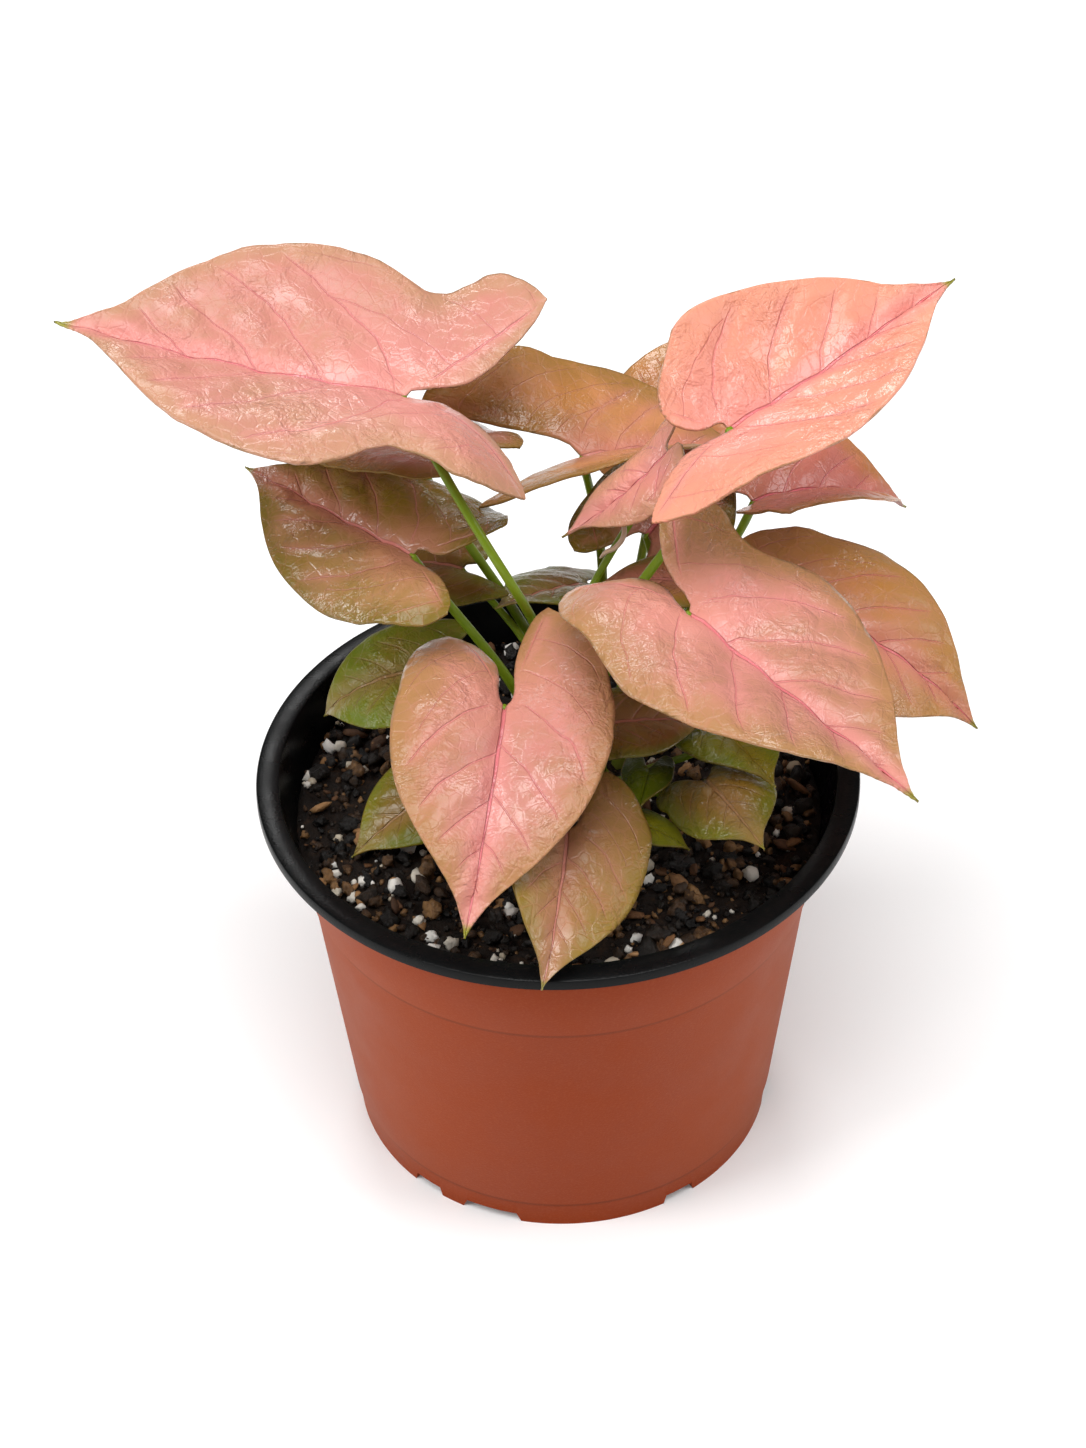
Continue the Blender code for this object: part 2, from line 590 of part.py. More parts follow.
def soil(collection, cutters, bases, material):
    """The potting mix: the pot's inside from the floor up, with a lumpy top and a hole for each shoot."""
    draw = random.Random(SOIL_SEED)
    wall = [(radius - WALL - SOIL_GAP, height) for radius, height in outer_wall()[1:-1]]
    lumps = []
    for _ in range(SOIL_LUMPS):
        angle = draw.uniform(0, 2 * math.pi)
        reach = wall[0][0] * math.sqrt(draw.random())
        lumps.append((reach * math.cos(angle), reach * math.sin(angle), draw.uniform(*SOIL_LUMP_RADIUS),
                      SOIL_LUMP_HEIGHT * draw.uniform(0.5, 1.0)))
    share = (SOIL_TOP - LEDGE_HEIGHT) / (COLLAR_FOOT_HEIGHT - LEDGE_HEIGHT)
    top_radius = wall[1][0] + (wall[0][0] - wall[1][0]) * min(share, 1.0)
    side = [point for point in wall[1:] if point[1] < SOIL_TOP - SOIL_WALL_DROP]
    side.append((BASE_RADIUS - WALL - SOIL_GAP, FLOOR + GAP))
    build = bmesh.new()
    rings = []
    for ring in range(1, SOIL_RINGS + 1):
        radius = top_radius * ring / SOIL_RINGS
        points = []
        for step in range(SOIL_SEGMENTS):
            angle = 2 * math.pi * step / SOIL_SEGMENTS
            x, y = radius * math.cos(angle), radius * math.sin(angle)
            height = soil_height(x, y, lumps) if ring < SOIL_RINGS else SOIL_TOP - SOIL_EDGE_DROP
            points.append(build.verts.new((x, y, height)))
        rings.append(points)
    for radius, height in side:
        turns = [2 * math.pi * step / SOIL_SEGMENTS for step in range(SOIL_SEGMENTS)]
        spots = [(radius * math.cos(turn), radius * math.sin(turn), height) for turn in turns]
        rings.append([build.verts.new(spot) for spot in spots])
    middle = build.verts.new((0, 0, soil_height(0, 0, lumps)))
    bottom = build.verts.new((0, 0, FLOOR + GAP))
    for step in range(SOIL_SEGMENTS):
        after = (step + 1) % SOIL_SEGMENTS
        build.faces.new((middle, rings[0][step], rings[0][after]))
        build.faces.new((bottom, rings[-1][after], rings[-1][step]))
        for upper, lower in zip(rings, rings[1:]):
            build.faces.new((upper[step], lower[step], lower[after], upper[after]))
    bmesh.ops.triangulate(build, faces=build.faces)
    body = mesh_object("soil", build, collection, material)
    holes = new_collection("hole_cutters", cutters)
    for x, y in bases:
        depth = STEM_DEPTH + GAP
        bpy.ops.mesh.primitive_cylinder_add(
            vertices=10, radius=STEM_RADIUS + HOLE_CLEARANCE, depth=2 * depth, location=(x, y, SOIL_TOP))
        hole = link(bpy.context.object, holes)
        hole.name = "hole_cutter"
        as_cutter(hole)
    cut(body, holes)
    return body


def main():
    for obj in list(bpy.data.objects):
        bpy.data.objects.remove(obj)
    scene = bpy.context.scene.collection
    plant = new_collection("arrowhead_plant", scene)
    cutters = new_collection("cutters", scene)
    cutters.hide_render = True
    pot(plant, cutters, new_material("pot_plastic", (0.46, 0.11, 0.05), 0.45))
    soil(plant, cutters, SHOOTS.values(), new_material("potting_mix", (0.035, 0.022, 0.013), 0.9))
    green = new_material("stalk_green", (0.19, 0.30, 0.05), 0.4)
    for name, base in SHOOTS.items():
        shoot(name, base, [leaf for leaf in LEAVES if leaf.shoot == name], plant, green)
    for leaf in LEAVES:
        material = new_material(leaf.name + "_blade", LEAF_COLOURS[leaf.colour], 0.35)
        blade(leaf, plant, material)


main()
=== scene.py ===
"""The arrowhead plant in its nursery pot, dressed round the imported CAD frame.

Metres, +Z up, front towards -Y. Each piece keeps the form of its CAD node, with a finer mesh.
"""

import json
import random
from dataclasses import dataclass
from math import cos, exp, hypot, pi, radians, sin, sqrt

import bmesh
import bpy
import numpy as np
from mathutils import Matrix, Vector, noise

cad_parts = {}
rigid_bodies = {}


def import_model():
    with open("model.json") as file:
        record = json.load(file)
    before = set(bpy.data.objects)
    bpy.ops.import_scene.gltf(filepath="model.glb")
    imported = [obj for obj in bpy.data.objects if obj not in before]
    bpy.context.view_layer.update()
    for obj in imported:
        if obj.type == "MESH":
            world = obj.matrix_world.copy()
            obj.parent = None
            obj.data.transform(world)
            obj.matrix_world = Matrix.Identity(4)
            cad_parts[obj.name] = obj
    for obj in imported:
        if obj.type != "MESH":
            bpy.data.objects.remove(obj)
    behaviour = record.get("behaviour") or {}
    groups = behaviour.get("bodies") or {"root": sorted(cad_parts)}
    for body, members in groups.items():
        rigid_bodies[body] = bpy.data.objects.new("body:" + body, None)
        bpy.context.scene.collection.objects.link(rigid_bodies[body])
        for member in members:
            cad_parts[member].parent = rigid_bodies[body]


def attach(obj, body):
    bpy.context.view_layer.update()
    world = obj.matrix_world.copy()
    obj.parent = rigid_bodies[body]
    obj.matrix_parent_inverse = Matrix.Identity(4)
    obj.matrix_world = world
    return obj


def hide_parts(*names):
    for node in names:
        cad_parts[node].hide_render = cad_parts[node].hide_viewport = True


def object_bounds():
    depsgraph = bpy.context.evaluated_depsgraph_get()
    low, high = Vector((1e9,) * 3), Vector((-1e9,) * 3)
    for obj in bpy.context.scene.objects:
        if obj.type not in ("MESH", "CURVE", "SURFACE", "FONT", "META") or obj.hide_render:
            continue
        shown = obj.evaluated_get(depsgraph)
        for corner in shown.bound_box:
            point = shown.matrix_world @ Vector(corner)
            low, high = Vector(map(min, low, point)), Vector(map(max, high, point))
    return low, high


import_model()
CAD_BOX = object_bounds()

# Camera, fitted to the photograph
CAMERA_PLACE = (0.0, -0.598, 0.642)
CAMERA_PITCH = 40.5
CAMERA_YAW = -0.35
CAMERA_ROLL = -1.27
CAMERA_LENS = 74.6

# Pot, as in the CAD
POT_HEIGHT = 0.1164
RIM_RADIUS = 0.08
LIP_WIDTH = 0.0062
LIP_DEPTH = 0.0036
LIP_ROUND = 0.0007
COLLAR_TOP_RADIUS = 0.0742
COLLAR_FOOT_HEIGHT = 0.103
COLLAR_FOOT_RADIUS = 0.072
LEDGE_HEIGHT = 0.085
LEDGE_RADIUS = 0.0678
LEDGE_STEP = 0.0009
FOOT_LEDGE_HEIGHT = 0.0092
FOOT_LEDGE_RADIUS = 0.0599
BASE_RADIUS = 0.0586
WALL = 0.0013
FLOOR = 0.0016
LEDGE_EASE = 0.0008
# Half the width of the band of painted shade under each ledge
LEDGE_SHADE_HALF_WIDTH = 0.0009
POT_SEGMENTS = 240
NOTCH_HEIGHT = 0.003
NOTCH_REACH = 0.007
NOTCH_TAPER = 0.25
NOTCHES = ((-40.5, 11.0), (-20.5, 19.0), (32.5, 11.0))
NOTCH_REPEATS = 3
SHARP_ANGLE = 32

# Potting mix
SOIL_TOP = 0.104
SOIL_GAP = 0.0004
SOIL_SHOULDER = 0.094
SOIL_SLACK = 0.0009
SOIL_EDGE_DROP = 0.004
SOIL_RINGS = 110
SOIL_SEGMENTS = 300
GAP = 0.0003

# Shoots
STEM_RADIUS = 0.003
STEM_DEPTH = 0.014
STEM_SHOW = 0.012
STEM_RINGS = 12
STALK_RADIUS = 0.0015
SMALL_STALK_RADIUS = 0.0012
STALK_TAPER = 0.72
STALK_SPACING = 0.0015
STALK_POINTS = 28
STALK_END_GAP = 0.0013
STALK_START = 0.35
STALK_END = 0.3
# How much a stalk swells at its points before the blade, counted back from it
STALK_SWELLS = ((2, 1.03), (3, 1.12), (4, 1.12), (5, 1.05))

# The sheath that has split open round the young leaf's stalk: its free edge, and its thickness
SHEATH_EDGE = ((0.0119, 0.0170, 0.1726), (0.0134, 0.0160, 0.1752), (0.0157, 0.0155, 0.1769),
               (0.0177, 0.0155, 0.1800), (0.0180, 0.0165, 0.1828), (0.0165, 0.0180, 0.1848),
               (0.0150, 0.0190, 0.1857))
SHEATH_RADIUS = 0.0006

# Blades
BLADE_THICKNESS = 0.0006
SMALL_BLADE = 0.036
BIG_BLADE = 0.05
# Mesh steps ahead of the stalk, behind it and across half the blade
BIG_BLADE_STEPS = (60, 36, 26)
SMALL_BLADE_STEPS = (36, 22, 16)
EDGE_WAVE = 0.012
EDGE_WAVES = 2.4
WAIST_REACH = 0.16
POINT_START = 0.45
OUTER_EDGE = ((1.0, 0.0), (0.94, 0.045), (0.82, 0.2), (0.64, 0.52), (0.42, 0.82), (0.2, 0.97),
              (0.0, 1.0), (-0.3, 0.96), (-0.62, 0.82), (-0.88, 0.62), (-1.0, 0.42))
INNER_EDGE = ((-1.0, 0.42), (-0.9, 0.3), (-0.68, 0.22), (-0.4, 0.16), (-0.15, 0.12), (-0.03, 0.06),
              (0.0, 0.0))

# Veins, in blade lengths: how far apart they leave the midrib, how they lean and how they curve forward
VEIN_SPACING = 0.21
VEIN_LEAN = 0.32
VEIN_LEAN_GROWTH = 1.5
VEIN_CURVE = 1.9
VEIN_FIRST = -0.4
VEIN_STAGGER = 0.16
LOBE_VEIN_SPACING = 0.17
LOBE_VEIN_CURVE = 1.1
# Relief of the blade between its veins, in metres
PUFF = 0.001
CRUMPLE = 0.0008


@dataclass
class Leaf:
    """One blade. Pairs are (left, right), seen from above with the tip ahead; angles are in degrees.

    waist narrows it waist_place behind the stalk, point makes a lobe's end pointed, bulge rounds a lobe's
    inner edge, and fullness broadens it towards the tip. bow and sway bend its stalk.
    """

    name: str
    place: tuple
    length: float
    heading: float
    pitch: float
    roll: float
    shoot: str = "shoot_middle"
    width: tuple = (0.46, 0.46)
    lobe: tuple = (0.42, 0.42)
    splay: tuple = (0.15, 0.15)
    waist: tuple = (0.05, 0.05)
    waist_place: float = 0.12
    point: tuple = (0.0, 0.0)
    bulge: tuple = (0.0, 0.0)
    fullness: float = 0.05
    droop: float = 20
    lobe_droop: tuple = (10, 10)
    fold: tuple = (12, 12)
    curl: tuple = (-30, -30)
    twist: float = 0
    bow: tuple = (0.0, 0.0)
    sway: tuple = (0.0, 0.0)


SHOOTS = {
    "shoot_left": (-0.006, 0.017),
    "shoot_back": (0.003, 0.031),
    "shoot_middle": (0.004, 0.019),
    "shoot_right": (0.017, 0.014),
    "shoot_front": (-0.001, 0.005),
    "shoot_low": (0.012, -0.002),
}

# Each blade's name, place, length, heading, pitch, roll and shoot, and then how it differs from the rest
LEAVES = [
    Leaf("leaf_left_top", (-0.037, 0.03, 0.215), 0.09, 173, 6, 6, "shoot_left", lobe=(0.38, 0.39),
         splay=(0.31, 0.46), droop=-10, lobe_droop=(45, -15), fold=(20, 22), curl=(-37, 7), twist=-10,
         waist=(0.28, 0.22), fullness=0.25, point=(0.75, 0.5), waist_place=0.04, bulge=(0.3, 0.2),
         bow=(0.009, 0.0225), sway=(0.0305, -0.07)),
    Leaf("leaf_left_middle", (-0.036, 0.009, 0.181), 0.06, 138, -3, -11, "shoot_left", width=(0.45, 0.46),
         lobe=(0.37, 0.35), splay=(0.0, 0.18), droop=-7, lobe_droop=(6, -35), fold=(14, 19),
         curl=(-41, -57), waist=(0.1, 0.05), fullness=0.09, point=(0.1, 0.5), bulge=(0.08, 0.12),
         bow=(0.004, -0.0055), sway=(0.005, 0.0015)),
    Leaf("leaf_front_heart", (-0.0129, -0.0247, 0.1584), 0.062, -97, -15, -16, "shoot_front",
         lobe=(0.49, 0.45), splay=(-0.13, 0.14), droop=26, lobe_droop=(4, 48), fold=(26, 11),
         curl=(-8, -44), twist=-3, waist=(0.03, 0.06), point=(0.15, 0.3), bulge=(0.06, 0.12)),
    Leaf("leaf_right_front", (0.033, -0.018, 0.182), 0.078, -48, -10, -2, "shoot_right", width=(0.46, 0.42),
         lobe=(0.37, 0.43), splay=(0.06, -0.12), droop=-3, lobe_droop=(-30, 50), fold=(16, 16),
         curl=(-19, -36), twist=-8, waist=(0.3, 0.12), waist_place=0.07, bulge=(0.05, 0.24),
         bow=(0.0005, 0.0005), sway=(-0.0005, 0.001)),
    Leaf("leaf_right_top", (0.044, 0.012, 0.216), 0.076, 38, 5, 10, "shoot_middle", width=(0.41, 0.44),
         lobe=(0.22, 0.42), splay=(-0.05, -0.12), droop=-12, lobe_droop=(-20, 32), fold=(20, 22),
         curl=(25, 10), waist=(0.2, 0.11), point=(0.0, 0.4), bulge=(0.05, 0.14), bow=(-0.0155, -0.014),
         sway=(0.0075, 0.011)),
    Leaf("leaf_right_outer", (0.064, 0.01, 0.162), 0.057, -27, -10, 10, "shoot_right", lobe=(0.4, 0.41),
         splay=(0.07, 0.13), droop=38, lobe_droop=(13, 10), fold=(15, 12), twist=3, waist=(0.08, 0.05),
         fullness=0.09, point=(0.2, 0.2)),
    Leaf("leaf_back_arch", (0.008, 0.049, 0.182), 0.05, 16, 0, -1, "shoot_back", width=(0.58, 0.48),
         lobe=(0.66, 0.65), splay=(0.48, 0.28), droop=24, lobe_droop=(20, 9), fold=(24, 23), curl=(7, 8),
         twist=-14, waist=(-0.1, 0.07), fullness=-0.07, point=(0.2, 0.5), bow=(0.0175, 0.0135),
         sway=(0.008, 0.0185)),
    Leaf("leaf_back_right", (0.0536, 0.051, 0.1648), 0.054, 25, -2, 3, "shoot_right", width=(0.49, 0.48),
         lobe=(0.39, 0.25), splay=(0.18, 0.29), droop=37, lobe_droop=(7, -10), fold=(32, 30), curl=(-16, 1),
         twist=5, fullness=0.09, point=(0.4, 0.4), bow=(-0.001, -0.0015), sway=(-0.0015, -0.0005)),
    Leaf("leaf_left_low", (-0.036, 0.008, 0.144), 0.034, -177, -10, -21, "shoot_left", lobe=(0.42, 0.43),
         splay=(0.16, 0.18), droop=55, lobe_droop=(9, 6), fold=(12, 16), curl=(-31, -38), twist=-3,
         waist=(0.05, 0.08), fullness=0.07),
    Leaf("leaf_front_low", (0.002, -0.046, 0.1355), 0.043, -95, -14, -24, "shoot_front", width=(0.5, 0.4),
         lobe=(0.45, 0.3), splay=(0.0, 0.05), droop=22, lobe_droop=(4, 20), fold=(16, 14), curl=(-20, -10),
         twist=-7, waist=(-0.03, 0.05), fullness=0.07),
    Leaf("leaf_low_olive", (0.0374, -0.0272, 0.1348), 0.031, -67, 15, 12, "shoot_low", width=(0.5, 0.45),
         splay=(0.38, 0.27), droop=25, lobe_droop=(30, 26), fold=(0, 1), curl=(-38, -44), twist=4,
         waist=(0.05, 0.09), fullness=0.13),
    Leaf("leaf_back_top", (0.0305, 0.0899, 0.1616), 0.042, 75, 20, -4, "shoot_right", bow=(-0.0025, 0.0025),
         sway=(-0.002, 0.002)),
    Leaf("leaf_left_front", (-0.032, -0.009, 0.1175), 0.029, -143, -12, -12, "shoot_front", droop=15),
    Leaf("leaf_back_low_left", (0.0092, 0.0466, 0.1412), 0.036, -138, 24, 9, "shoot_middle", droop=12),
    Leaf("leaf_back_low_right", (0.0328, 0.021, 0.1616), 0.022, 171, 1, -5, "shoot_right"),
    Leaf("leaf_behind_left", (-0.0245, 0.0375, 0.1544), 0.034, 152, -7, -5, "shoot_left", lobe=(0.5, 0.14),
         width=(0.46, 0.4), point=(0.5, 0.0), splay=(-0.05, 0.0), bow=(0.0125, 0.0055),
         sway=(0.006, 0.0015)),
    Leaf("leaf_low_green", (0.0408, -0.0093, 0.137), 0.03, -61, 15, -6, "shoot_low"),
    Leaf("leaf_low_brown", (0.0142, -0.0155, 0.1445), 0.027, 12, -4, 8, "shoot_low", droop=18),
    Leaf("leaf_low_dark", (0.0233, -0.0197, 0.1325), 0.015, -101, 5, 0, "shoot_low", droop=16),
    Leaf("leaf_low_bright", (0.0212, -0.0322, 0.1245), 0.014, -21, -10, -4, "shoot_low"),
    Leaf("leaf_under_left", (-0.037, 0.046, 0.19), 0.059, 142, -12, 16, "shoot_back", lobe_droop=(13, 9),
         bow=(-0.0055, 0.0085), sway=(0.0075, -0.0045)),
    Leaf("leaf_young_rolled", (0.029, 0.02, 0.203), 0.036, -174, -55, -4, "shoot_middle",
         width=(0.41, 0.36), lobe=(0.2, 0.3), splay=(0.1, 0.3), droop=-30, lobe_droop=(-4, 8),
         fold=(38, 26), curl=(-95, -65), twist=-4, waist=(0.06, 0.08), bow=(-0.018, -0.004),
         sway=(-0.025, 0.0065)),
    Leaf("leaf_behind_young", (0.025, 0.041, 0.162), 0.043, 53, 15, 25, "shoot_middle", lobe=(0.4, 0.42),
         splay=(0.23, 0.15), droop=17, lobe_droop=(3, 10), bow=(0.0035, -0.001), sway=(0.0125, -0.0025)),
]


@dataclass
class Look:
    """A blade's colours in linear light, and how they spread.

    main covers most of it, second comes in blotches, edge is its margin, vein its veins and glow the soft
    band beside them; lines and bands say how strongly. lean is how much second grows towards the tip,
    towards the left edge, and everywhere, and lobes how much it grows in the left and right lobe.
    """

    main: tuple
    second: tuple
    edge: tuple
    vein: tuple
    glow: tuple
    tip: tuple = (0.26, 0.22, 0.03)
    edge_width: float = 4.0
    lean: tuple = (0.0, 0.0, 0.35)
    lobes: tuple = (0.0, 0.0)
    lines: float = 0.6
    bands: float = 0.75
    gloss: float = 0.27


# Tints in linear light
SALMON = (0.565, 0.228, 0.180)
ROSE = (0.60, 0.21, 0.18)
CORAL = (0.74, 0.27, 0.185)
PEACH = (0.76, 0.31, 0.20)
HOT_PINK = (0.68, 0.125, 0.17)
PALE_PINK = (0.74, 0.275, 0.26)
BEIGE = (0.46, 0.25, 0.135)
TAN = (0.37, 0.195, 0.062)
APRICOT = (0.60, 0.26, 0.115)
AMBER = (0.45, 0.195, 0.045)
BRONZE = (0.27, 0.145, 0.026)
RUST = (0.52, 0.145, 0.085)
TAUPE = (0.36, 0.19, 0.085)
OLIVE = (0.225, 0.150, 0.009)
MOSS = (0.135, 0.105, 0.003)
MAROON = (0.17, 0.045, 0.015)
GREEN = (0.125, 0.165, 0.004)
PINE = (0.034, 0.062, 0.003)
LIME = (0.27, 0.25, 0.012)
UNDERSIDE = (0.46, 0.28, 0.25)
MARGIN_LINE = (0.20, 0.12, 0.025)
BLOTCH_SPREAD = 2.4

LOOKS = {
    "leaf_left_top": Look(SALMON, BEIGE, BEIGE, HOT_PINK, PALE_PINK, tip=LIME, edge_width=3.5,
                          lean=(0, 0.1, 0.05)),
    "leaf_left_middle": Look(OLIVE, TAUPE, MOSS, ROSE, ROSE, edge_width=3.0, lean=(0, 0.6, 0.45),
                             bands=0.6, lines=0.85, gloss=0.18),
    "leaf_front_heart": Look(SALMON, TAN, TAN, HOT_PINK, PALE_PINK, tip=LIME, edge_width=4.5,
                             lean=(-0.2, -0.3, 0.25)),
    "leaf_right_front": Look(SALMON, TAUPE, TAN, HOT_PINK, PALE_PINK, edge_width=4.5,
                             lean=(0.2, -0.2, 0.2), lobes=(1.0, 0.2)),
    "leaf_right_top": Look(CORAL, PEACH, PEACH, HOT_PINK, PALE_PINK, tip=LIME),
    "leaf_right_outer": Look(SALMON, AMBER, TAN, HOT_PINK, ROSE, edge_width=6.0, lean=(0, 0.5, 0.7),
                             bands=0.6),
    "leaf_back_arch": Look(AMBER, APRICOT, BRONZE, ROSE, ROSE, lean=(0.8, 0, 0.5)),
    "leaf_back_right": Look(RUST, ROSE, AMBER, HOT_PINK, ROSE, lines=0.7),
    "leaf_left_low": Look(GREEN, OLIVE, GREEN, TAUPE, TAUPE, lean=(0, 0, 0.2), bands=0.5),
    "leaf_front_low": Look(BRONZE, TAUPE, OLIVE, ROSE, ROSE, edge_width=2.5, lean=(0, 0, 0.6),
                           bands=0.35),
    "leaf_low_olive": Look(BRONZE, OLIVE, GREEN, TAUPE, TAUPE, bands=0.6),
    "leaf_back_top": Look(RUST, BRONZE, AMBER, ROSE, TAUPE, lean=(0, 0, 0.55), bands=0.5),
    "leaf_left_front": Look(MOSS, BRONZE, GREEN, TAUPE, TAUPE, edge_width=3.0, bands=0.4),
    "leaf_back_low_left": Look(MOSS, MAROON, GREEN, ROSE, TAUPE, edge_width=3.0, bands=0.4),
    "leaf_back_low_right": Look(BRONZE, AMBER, GREEN, ROSE, ROSE, edge_width=1.5),
    "leaf_behind_left": Look(OLIVE, MAROON, GREEN, ROSE, TAUPE, edge_width=2.0, bands=0.3),
    "leaf_low_green": Look(GREEN, LIME, GREEN, OLIVE, OLIVE, lean=(0, 0, 0.2)),
    "leaf_low_brown": Look(OLIVE, MAROON, GREEN, ROSE, TAUPE, edge_width=1.5),
    "leaf_low_dark": Look(PINE, GREEN, PINE, GREEN, GREEN, gloss=0.22),
    "leaf_low_bright": Look(GREEN, LIME, GREEN, LIME, LIME),
    "leaf_under_left": Look(ROSE, BRONZE, OLIVE, ROSE, ROSE, edge_width=3.0),
    "leaf_young_rolled": Look(PEACH, ROSE, BEIGE, HOT_PINK, PALE_PINK, tip=OLIVE, gloss=0.16,
                              lean=(0, 0.9, 0.3)),
    "leaf_behind_young": Look(MAROON, OLIVE, MOSS, HOT_PINK, ROSE),
}

# Loose bits on the mix: their tones from dark to light, and the share of each that is sunk in
PERLITE_TONES = ((0.0, (0.42, 0.35, 0.25)), (0.4, (0.70, 0.65, 0.56)), (1.0, (0.88, 0.86, 0.81)))
BARK_TONES = ((0.0, (0.030, 0.012, 0.005)), (0.5, (0.12, 0.050, 0.016)), (0.8, (0.30, 0.15, 0.055)),
              (1.0, (0.45, 0.27, 0.13)))
CLOD_TONES = ((0.0, (0.0015, 0.001, 0.0005)), (0.5, (0.008, 0.0045, 0.002)), (0.8, (0.060, 0.028, 0.010)),
              (1.0, (0.26, 0.135, 0.050)))
BIT_SINK = 0.25

# Studio: each lamp's name, place, size and power
LAMPS = (
    ("top_box", (0.0, -0.45, 2.1), (1.3, 1.3), 36.0),
    ("left_box", (-1.5, -0.5, 1.3), (0.9, 0.9), 20.0),
    ("right_box", (1.6, -0.3, 1.2), (0.9, 0.9), 12.0),
    ("back_box", (-0.25, 1.5, 1.5), (0.7, 0.5), 9.0),
)
LAMP_TARGET = (0.0, 0.0, 0.13)
WORLD_LIGHT = 0.16
FLOOR_SIZE = 4.0


class Graph:
    """A short way to write a material's nodes."""

    def __init__(self, name):
        self.material = bpy.data.materials.new(name)
        self.material.use_nodes = True
        self.tree = self.material.node_tree
        self.shader = self.tree.nodes["Principled BSDF"]
        self.place = self.node("ShaderNodeTexCoord").outputs["Object"]

    def node(self, kind, inputs=None, **settings):
        """Adds a node. Its inputs are values or sockets by name or number."""
        made = self.tree.nodes.new(kind)
        for key, value in settings.items():
            setattr(made, key, value)
        for key, value in (inputs or {}).items():
            self.feed(made.inputs[key], value)
        return made

    def feed(self, socket, value):
        """Links a socket to an input, or sets its value."""
        if isinstance(value, bpy.types.NodeSocket):
            self.tree.links.new(value, socket)
        elif isinstance(value, tuple) and len(value) == 3 and socket.type == "RGBA":
            socket.default_value = (*value, 1.0)
        else:
            socket.default_value = value

    def math(self, operation, a, b=0.0, c=0.0, clamp=False):
        made = self.node("ShaderNodeMath", {0: a, 1: b, 2: c}, operation=operation, use_clamp=clamp)
        return made.outputs[0]

    def times(self, a, b, plus=None):
        """a times b, and plus a third value where one is given."""
        if plus is None:
            return self.math("MULTIPLY", a, b)
        return self.math("MULTIPLY_ADD", a, b, plus)

    def larger(self, a, b):
        return self.math("MAXIMUM", a, b)

    def fade(self, value, start, end, low=0.0, high=1.0):
        """A smooth step from low at start to high at end."""
        inputs = {"Value": value, "From Min": start, "From Max": end, "To Min": low, "To Max": high}
        return self.node("ShaderNodeMapRange", inputs, interpolation_type="SMOOTHSTEP").outputs["Result"]

    def mix(self, share, a, b):
        made = self.node("ShaderNodeMix", data_type="RGBA")
        self.feed(made.inputs["Factor"], share)
        self.feed(made.inputs[6], a)
        self.feed(made.inputs[7], b)
        return made.outputs[2]

    def noise(self, scale, detail=3.0, rough=0.55, distortion=0.0):
        """Noise from 0 to 1; scale is in features a metre."""
        inputs = {"Vector": self.place, "Scale": scale, "Detail": detail, "Roughness": rough,
                  "Distortion": distortion}
        return self.node("ShaderNodeTexNoise", inputs).outputs["Fac"]

    def net(self, scale):
        """How far a place is from the threads of a net of cells."""
        inputs = {"Vector": self.place, "Scale": scale}
        return self.node("ShaderNodeTexVoronoi", inputs, feature="DISTANCE_TO_EDGE").outputs["Distance"]

    def ramp(self, value, *stops):
        """Colours by value: each stop is (position, colour)."""
        made = self.node("ShaderNodeValToRGB", {"Fac": value})
        points = made.color_ramp.elements
        while len(points) < len(stops):
            points.new(1.0)
        for point, (position, colour) in zip(points, stops):
            point.position = position
            point.color = (*colour, 1.0)
        return made.outputs["Color"]

    def attribute(self, name, out="Vector"):
        return self.node("ShaderNodeAttribute", attribute_name=name).outputs[out]

    def split(self, vector):
        return self.node("ShaderNodeSeparateXYZ", {0: vector}).outputs

    def bump(self, height, distance, strength=1.0):
        made = self.node("ShaderNodeBump", {"Height": height, "Distance": distance, "Strength": strength})
        for name in ("Normal", "Coat Normal"):
            self.tree.links.new(made.outputs["Normal"], self.shader.inputs[name])

    def finish(self, colour, roughness, **constants):
        """Feeds the shader and returns the material."""
        self.feed(self.shader.inputs["Base Color"], colour)
        self.feed(self.shader.inputs["Roughness"], roughness)
        for key, value in constants.items():
            self.shader.inputs[key.replace("_", " ")].default_value = value
        return self.material


def vein_lines(g, along, side, rim, size, wobble):
    """Strength of the fine vein lines and of the soft bands beside them, from 0 to 1."""
    length = g.times(size, 1000.0)
    out = g.math("ABSOLUTE", side)
    bend = g.times(g.times(out, out), VEIN_CURVE)
    start = g.math("SUBTRACT", g.times(out, -VEIN_LEAN, along), bend)
    start = g.math("DIVIDE", start, g.times(out, VEIN_LEAN_GROWTH, 1.0))
    count = g.times(start, 1.0 / VEIN_SPACING, wobble)
    count = g.times(g.math("GREATER_THAN", side, 0.0), VEIN_STAGGER, count)
    off = g.times(g.math("PINGPONG", count, 0.5), g.times(length, 0.75 * VEIN_SPACING))
    shown = g.times(g.fade(rim, 2.0, 6.0), g.math("GREATER_THAN", count, VEIN_FIRST))
    line = g.times(g.fade(off, 0.06, 0.36, 0.5, 0.0), shown)
    band = g.times(g.fade(off, 0.3, 3.0, 0.35, 0.0), shown)
    mid = g.math("ADD", g.times(out, length), g.times(g.math("LESS_THAN", along, -0.004), 30.0))
    width = g.fade(along, 0.0, 1.0, 0.75, 0.22)
    midrib = g.math("SUBTRACT", 1.0, g.fade(g.math("DIVIDE", mid, width), 0.45, 1.15))
    return g.larger(line, midrib), g.larger(band, g.fade(mid, 0.5, 7.0, 0.85, 0.0))


